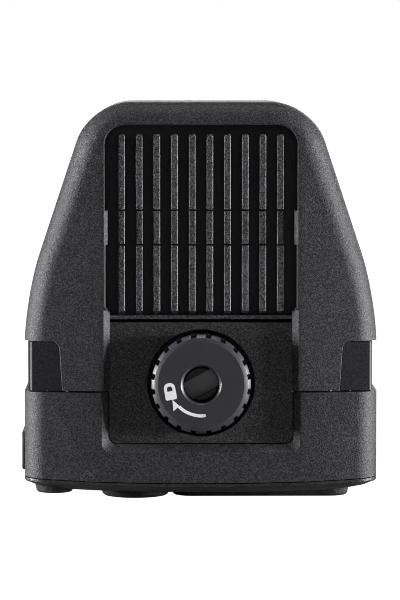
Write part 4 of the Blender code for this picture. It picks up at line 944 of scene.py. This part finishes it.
def turned(obj, centre, steps, radius, y):
    # extrudes the far end of a disc through (radius, y) steps
    begin(obj)
    pick("FACE", lambda n: n.y > 0.9)
    for nextRadius, nextY in steps:
        extrude(y=nextY - y)
        grow = nextRadius / radius
        bpy.ops.transform.resize(value=(grow, 1, grow), center_override=(centre[0], 0, centre[1]))
        radius, y = nextRadius, nextY
    end()
    return obj


def makeScrew():
    # turned from the head to the threaded tip, then slotted
    level, shank = screw["level"], screw["shank"]
    root = shank - screw["cut"]
    shoulder = screw["shoulder"]
    steps = [
        (screw["head"], level + screw["edge"]), (screw["head"], level + screw["headDeep"]),
        (screw["low"], level + screw["collar"]), (screw["low"], shoulder), (shank, shoulder + 2 * skin),
        (shank, screw["clipFront"]), (screw["clip"], screw["clipFront"]),
        (screw["clip"], screw["clipBack"]), (shank, screw["clipBack"]),
    ]
    for k in range(round((screw["tip"] - screw["start"]) / screw["pitch"])):
        turn = screw["start"] + k * screw["pitch"]
        steps += [
            (shank, turn), (shank, turn + screw["crest"]),
            (root, turn + screw["flank"]), (root, turn + screw["valley"]),
        ]
    steps.append((root - screw["point"], screw["tip"]))
    z, first = wheel["z"], screw["head"] - screw["edge"]
    obj = disc("lockScrew", first, "Y", (0, z), at(level), at(level + skin), 72)
    turned(obj, (0, z), [(radius, at(depth)) for radius, depth in steps], first, at(level + skin))
    heights = (z - screw["slotLow"], z + screw["slotHigh"])
    slot = block("slot", (-4, 4), (ahead, at(level + screw["slotDeep"])), heights)
    begin(slot)
    everything()
    turnSelected(math.radians(screw["lean"]))
    end()
    boolean(obj, slot)
    return soften(obj, screw["soft"], 2, 50)


finish(makeScrew(), "lock_wheel", "lock_screw", "head", 30)

# Bottom panel and its controls

print("stage: bottom panel")
panel = {
    "drop": 0.3, "under": 0.1, "steps": ((0.07, 0.1), (0.15, 0.1), (0.25, 0.08), (0.7, 0.33), (1.4, 0.33)),
    "root": 1.9, "flare": 0.3, "edge": 0.42, "soft": 0.07, "cut": 5.0,
    "power": (-7.8, 8.6), "powerOuter": 3.95, "powerHole": 3.0,
    "mode": (-17.4, 4.4), "modeOuter": 2.1, "modeHole": 1.25, "modeFoot": 0.9,
    "modeRise": 0.3, "modeEdge": 0.3,
    "lens": (7.2, 12.8), "padWide": 21.0, "padTall": 12.6, "padRound": 2.2,
    "lensWide": 17.4, "lensTall": 9.0, "lensRound": 1.2, "lensSeat": 1.2, "lensPlay": 0.1,
    "lensFoot": 0.2, "lensTop": 1.1, "lensEdge": 0.12, "keyTop": 2.3, "keyEdge": 0.25, "keyDome": (0.3, 0.3),
    "flat": 0.1,  # less than the facets of the bend turn, in degrees
}
buttons = {
    "powerButton": {"spot": "power", "node": "power_button", "radius": 2.85, "foot": 0.2, "crown": 0.12},
    "modeButton": {"spot": "mode", "node": "mode_button", "radius": 1.1, "foot": 1.05, "crown": 0.08},
}


def underPlate(name, middle, wide, deep, radius, z, play=0.0):
    # rounded plate that lies flat under the case
    x, y = middle[0], at(middle[1])
    wide, deep = wide / 2 + play, deep / 2 + play
    obj = block(name, (x - wide, x + wide), (y - deep, y + deep), z)
    return bevel(obj, along("z"), radius + play, 8)


def lowRound(obj, z, width, steps=4):
    return bevel(obj, across("z", lambda p: abs(p.z - z) < tiny), width, steps)


def flared(obj, spot, halfWide, halfDeep, root):
    # spreads a surround where it meets the panel
    begin(obj)
    pick("VERT", lambda p: p.z > root - tiny)
    grow = (1 + panel["flare"] / halfWide, 1 + panel["flare"] / halfDeep, 1)
    bpy.ops.transform.resize(value=grow, center_override=(spot[0], at(spot[1]), 0))
    end()
    return obj


def addRing(obj, name, sides, foot, root, edge):
    # raised round surround of a button
    spot, size = panel[name], panel[name + "Outer"]
    ring = disc(name + "Rim", size, "Z", (spot[0], at(spot[1])), foot, root, sides)
    flared(ring, spot, size, size, root)
    boolean(obj, lowRound(ring, foot, edge), "UNION")


def panelBody():
    # plate with a stepped rounded rim, bent to the curve of the seam
    half = shape["half"]
    seam = shape["archMid"] - panel["under"]
    obj = block("bottomPanel", (-half, half), (at(0), back), (seam - panel["drop"], seam))
    bevel(obj, along("z", lambda p: p.y < 0), shape["frontRound"], 9)
    bevel(obj, along("z", lambda p: p.y > 5), shape["rearRound"], 4)
    slopeCheeks(obj, at(shape["frontRound"]))
    begin(obj)
    pick("EDGE", along("y", lambda p: abs(abs(p.x) - shape["faceHalf"]) < tiny))
    bpy.ops.mesh.dissolve_edges(use_verts=False)
    pick("FACE", lambda n: n.z < -0.9)
    wide, deep = half, shape["depth"] / 2
    for inward, down in panel["steps"]:
        extrude(z=-down)
        grow = (1 - inward / wide, 1 - inward / deep, 1)
        bpy.ops.transform.resize(value=grow, center_override=(0, at(shape["depth"] / 2), 0))
        wide, deep = wide - inward, deep - inward
    end()
    for k in range(-11, 12):
        sliceAt(obj, (k * half / 12, 0, 0), (1, 0, 0))
    return push(obj, "Z", lambda p: shape["archRise"] * (p.x / half) ** 2)


def makePanel():
    obj = panelBody()
    root, lens = panel["root"], panel["lens"]
    addRing(obj, "power", 72, 0, root, panel["edge"])
    addRing(obj, "mode", 48, panel["modeFoot"], root + panel["modeRise"], panel["modeEdge"])
    wide, tall = panel["padWide"], panel["padTall"]
    pad = underPlate("displayRim", lens, wide, tall, panel["padRound"], (0, root))
    flared(pad, lens, wide / 2, tall / 2, root)
    boolean(obj, lowRound(pad, 0, panel["edge"]), "UNION")
    for name, sides in (("power", 64), ("mode", 40)):
        x, depth = panel[name]
        boolean(obj, disc(name + "Hole", panel[name + "Hole"], "Z", (x, at(depth)), -1, panel["cut"], sides))
    lensHole = underPlate(
        "lensHole", lens, panel["lensWide"], panel["lensTall"], panel["lensRound"], (-1, panel["lensSeat"]),
        panel["lensPlay"],
    )
    boolean(obj, lensHole)
    return soften(obj, panel["soft"], 3, 30, panel["flat"])


def makeButton(name, key):
    # domed key with a soft edge
    x, depth = panel[key["spot"]]
    foot = key["foot"] + key["crown"]
    obj = disc(name, key["radius"], "Z", (x, at(depth)), foot, panel["keyTop"], 56)
    lowRound(obj, foot, panel["keyEdge"], 3)
    begin(obj)
    pick("FACE", lambda n: n.z < -0.95)
    for share in panel["keyDome"]:
        bpy.ops.mesh.inset(thickness=key["radius"] * share, depth=key["crown"] / 2)
    end()
    return obj


def makeLens():
    heights = (panel["lensFoot"], panel["lensTop"])
    obj = underPlate(
        "displayLens", panel["lens"], panel["lensWide"], panel["lensTall"], panel["lensRound"], heights
    )
    return lowRound(obj, panel["lensFoot"], panel["lensEdge"], 3)


finish(makePanel(), "module", "bottom_panel", "panel")
for name, key in buttons.items():
    finish(makeButton(name, key), key["node"], key["node"], "rubber")
finish(makeLens(), "module", "display_window", "lens")

# Socket cover

coverFace = outside - socket["proud"]
coverBack = seatFloor - socket["fit"]


def makeCover():
    # plate in the seat, with a plug in the mouth
    obj = sidePlate("socketCover", socket["wide"], socket["tall"], socket["round"], (coverFace, coverBack))
    bevel(obj, lambda p, d: p.x < coverFace + tiny, socket["coverEdge"], 4)
    plugEnd = seatFloor + socket["plugDeep"]
    plug = sidePlate(
        "coverPlug", socket["plugWide"], socket["plugTall"], socket["plugRound"], (outside + 0.5, plugEnd)
    )
    bevel(plug, lambda p, d: p.x > plugEnd - tiny, socket["plugEdge"], 3)
    return boolean(obj, plug, "UNION")


def makeTether():
    heights = (socket["height"] - socket["tetherHalf"], socket["height"] + socket["tetherHalf"])
    ends = (coverFace + socket["tetherSink"], coverBack)
    return soften(block("coverTether", ends, (hingeY, hingeY + socket["tether"]), heights), 0.14, 3)


finish(makeCover(), "socket_cover", "socket_cover", "rubber")
finish(makeTether(), "module", "cover_tether", "rubber")

# Rear pieces

print("stage: rear")
fitting = {
    "shellOut": 4.5, "shellFront": 16.8, "shellPlay": 0.1, "shellWall": 0.45, "shellLip": 0.12,
    "gasketOut": 2.4, "gasketIn": 1.2, "gasketDeep": 0.7, "gasketProud": 0.3, "gasketEdge": 0.35,
    "pin": ((2.0, -2.3), (2.0, -1.7), (1.2, -1.7), (1.2, 3.6), (1.05, 3.92), (0.75, 4.14), (0.45, 4.2)),
    "bushing": (
        (3.2, -4.5), (3.2, -0.7), (4.28, -0.7), (4.4, -0.6), (4.4, -0.14), (4.26, 0),
        (3.6, 0), (3.5, -0.08), (3.4, 0),
    ),
    "bushingBore": 2.1, "bushingEdge": 0.15,
    "coverScrew": ((0.95, -11.4), (0.95, -2.9), (1.6, -2.9), (1.6, -1.85), (1.42, -1.62), (1.1, -1.5)),
    "crossLong": 0.95, "crossShort": 0.24, "crossDeep": 0.7, "coverScrewEdge": 0.03,
}


def makeShell():
    # drawn metal shell with a rolled lip
    end = back + fitting["shellOut"]
    obj = backPlate("connectorShell", -fitting["shellPlay"], (at(fitting["shellFront"]), end))
    boolean(obj, backPlate("shellRoom", -fitting["shellWall"], (at(16), behind)))
    return bevel(obj, across("y", lambda p: p.y > end - tiny), fitting["shellLip"], 3, 30)


def makeGasket():
    # ring in the groove, rounded where it stands proud
    face = back + fitting["gasketProud"]
    obj = backPlate("connectorGasket", fitting["gasketOut"], (back - fitting["gasketDeep"], face))
    boolean(obj, backPlate("gasketRoom", fitting["gasketIn"], (back - 3, behind)))
    return bevel(obj, across("y", lambda p: p.y > face - tiny), fitting["gasketEdge"], 4, 30)


def turnedPart(name, centre, profile, sides):
    # turned along Y through steps of radius and distance behind the mating face
    steps = [(radius, back + out) for radius, out in profile]
    (radius, low), (_, high) = steps[:2]
    return turned(disc(name, radius, "Y", centre, low, high, sides), centre, steps[2:], radius, high)


def makeBushing():
    z = rear["screwZ"]
    bore = fitting["bushingBore"]
    obj = turnedPart("screwBushing", (0, z), fitting["bushing"], 80)
    boolean(obj, disc("bore", bore, "Y", (0, z), back - 8, behind, 56))

    def atMouth(p, d):
        return p.y > back - tiny and math.hypot(p.x, p.z - z) < bore + 0.1

    return bevel(obj, atMouth, fitting["bushingEdge"], 2, 30)


def makeCoverScrew(name, x, z):
    obj = turnedPart(name, (x, z), fitting["coverScrew"], 32)
    top = back + fitting["coverScrew"][-1][1]
    long, short = fitting["crossLong"], fitting["crossShort"]
    for wide, tall in ((long, short), (short, long)):
        ends = (top - fitting["crossDeep"], top + 1)
        boolean(obj, block("cross", (x - wide, x + wide), ends, (z - tall, z + tall)))
    return soften(obj, fitting["coverScrewEdge"], 1, 50)


finish(makeShell(), "module", "connector_shell", "bright")
finish(makeGasket(), "module", "connector_gasket", "rubber")
for side, label in ((-1, "Left"), (1, "Right")):
    pin = turnedPart(f"guidePin{label}", (side * rear["pinX"], rear["pinZ"]), fitting["pin"], 40)
    finish(pin, "module", f"guide_pin_{label.lower()}", "bright")
finish(makeBushing(), "module", "screw_bushing", "turned")
for label, (x, z) in posts.items():
    obj = makeCoverScrew(f"coverScrew_{label}", x, z)
    finish(obj, "module", f"cover_screw_{label}", "screw")

print("stage: lights and camera")

# Here places and sizes are in metres, and strengths in watts. A lamp aims at a height on the middle line.
studio = {
    "distance": 0.4, "azimuth": -0.7, "elevation": 3.8, "target": (-0.00013, -0.01385, 0.02403),
    "focal": 3403, "across": 400,  # the focal length and the picture's width, in pixels
    "sensor": 36, "near": 0.01, "filter": 0.9,
    "sky": 0.02, "floor": 0.34, "floorDrop": 0.00003, "floorSize": 3, "floorGlow": 1.12, "glowShare": 0.92,
}
lamps = {
    "softboxLeft": {"place": (-0.42, -0.026, 0.024), "aim": 0.024, "size": (0.08, 0.12), "power": 7.8},
    "softboxRight": {"place": (0.42, -0.066, 0.012), "aim": 0.024, "size": (0.08, 0.12), "power": 9.4},
    "softboxTop": {"place": (0, -0.02, 0.46), "aim": 0.03, "size": (0.20, 0.05), "power": 1.1},
    "softboxFront": {"place": (0.04, -0.70, 0.2), "aim": 0.02, "size": (0.40, 0.20), "power": 0.28},
    "softboxBack": {"place": (0.1, 0.60, 0.2), "aim": 0.02, "size": (0.40, 0.30), "power": 2.4},
}


def makeLamp(name, settings):
    light = bpy.data.lights.new(name, "AREA")
    light.shape = "RECTANGLE"
    light.size, light.size_y = settings["size"]
    light.energy = settings["power"]
    obj = bpy.data.objects.new(name, light)
    bpy.context.scene.collection.objects.link(obj)
    place = Vector(settings["place"])
    obj.location = place
    obj.rotation_euler = (Vector((0, 0, settings["aim"])) - place).to_track_quat("-Z", "Y").to_euler()


def makeWorld():
    # white to the camera and through glass, but faint as light
    world = bpy.data.worlds.new("studio")
    world.use_nodes = True
    sky = Nodes(world.node_tree)
    camera = sky.node("ShaderNodeLightPath", output="Is Camera Ray")
    glass = sky.node("ShaderNodeLightPath", output="Is Transmission Ray")
    seen = camera.step("MAXIMUM", camera, glass)
    strength = sky.node("ShaderNodeMapRange", None, {"Value": seen, "To Min": studio["sky"], "To Max": 1.0})
    background = sky.tree.nodes["Background"].inputs
    sky.feed(background["Color"], (1, 1, 1))
    sky.feed(background["Strength"], strength)
    bpy.context.scene.world = world


def makeFloor():
    # pale floor that glows to the camera alone and keeps some shadow
    bpy.ops.object.select_all(action="DESELECT")
    bpy.ops.mesh.primitive_plane_add(size=studio["floorSize"], location=(0, 0, -studio["floorDrop"]))
    floor = bpy.context.object
    floor.name = "studioFloor"
    paint = Finish("floorPale")
    paint.made((studio["floor"],) * 3, 0.85, 0.1)
    glow = paint.node("ShaderNodeEmission", None, {"Color": (1, 1, 1), "Strength": studio["floorGlow"]})
    seen = paint.node("ShaderNodeLightPath", output="Is Camera Ray")
    pale = Wire(paint, paint.shader.outputs[0])
    both = paint.node("ShaderNodeMixShader", None, {0: seen * studio["glowShare"], 1: pale, 2: glow})
    paint.feed(paint.tree.nodes["Material Output"].inputs["Surface"], both)
    floor.data.materials.append(paint.material)


def makeCamera():
    camera = bpy.data.cameras.new("camera")
    obj = bpy.data.objects.new("camera", camera)
    bpy.context.scene.collection.objects.link(obj)
    turn, tilt = math.radians(studio["azimuth"]), math.radians(studio["elevation"])
    away = Vector((math.sin(turn) * math.cos(tilt), -math.cos(turn) * math.cos(tilt), math.sin(tilt)))
    obj.location = Vector(studio["target"]) + away * studio["distance"]
    obj.rotation_euler = (-away).to_track_quat("-Z", "Y").to_euler()
    camera.sensor_fit = "HORIZONTAL"
    camera.sensor_width = studio["sensor"]
    camera.lens = studio["focal"] * studio["sensor"] / studio["across"]
    camera.clip_start = studio["near"]
    bpy.context.scene.camera = obj


for name, settings in lamps.items():
    makeLamp(name, settings)
makeWorld()
makeFloor()
makeCamera()
bpy.context.scene.view_settings.view_transform = "Standard"
bpy.context.scene.cycles.filter_width = studio["filter"]

print("stage: finishes of the frame's own nodes")
kept = {
    "bright": "shield_can connector_shell guide_pin_left guide_pin_right",
    "socket": "service_socket",
    "turned": "screw_bushing",
    "screw": "screw_clip " + " ".join(f"cover_screw_{label}" for label in posts),
    "thread": "lock_screw",
    "rubber": "socket_cover cover_tether power_button mode_button connector_gasket",
    "lens": "display_window",
    "display": "display_module",
    "nylon": "wheel_washer",
    "insert": "connector_insert power_switch mode_switch radio_chip",
    "gold": "contact_row_upper contact_row_lower",
    "board": "panel_board main_board rear_board",
    "film": "board_ribbon antenna_left antenna_right",
    "pad": "thermal_pad",
    "frame": "inner_frame",
    "cell": "battery_cell",
    "housing": "ribbed_panel bottom_panel rear_cover",
    "plate": "wheel_plate",
    "window": "side_window_left side_window_right",
    "wheel": "lock_wheel",
}
for paint, nodes in kept.items():
    for node in nodes.split():
        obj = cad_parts[node]
        obj.data.materials.clear()
        obj.data.materials.append(finishes[paint])

print("stage: finished")
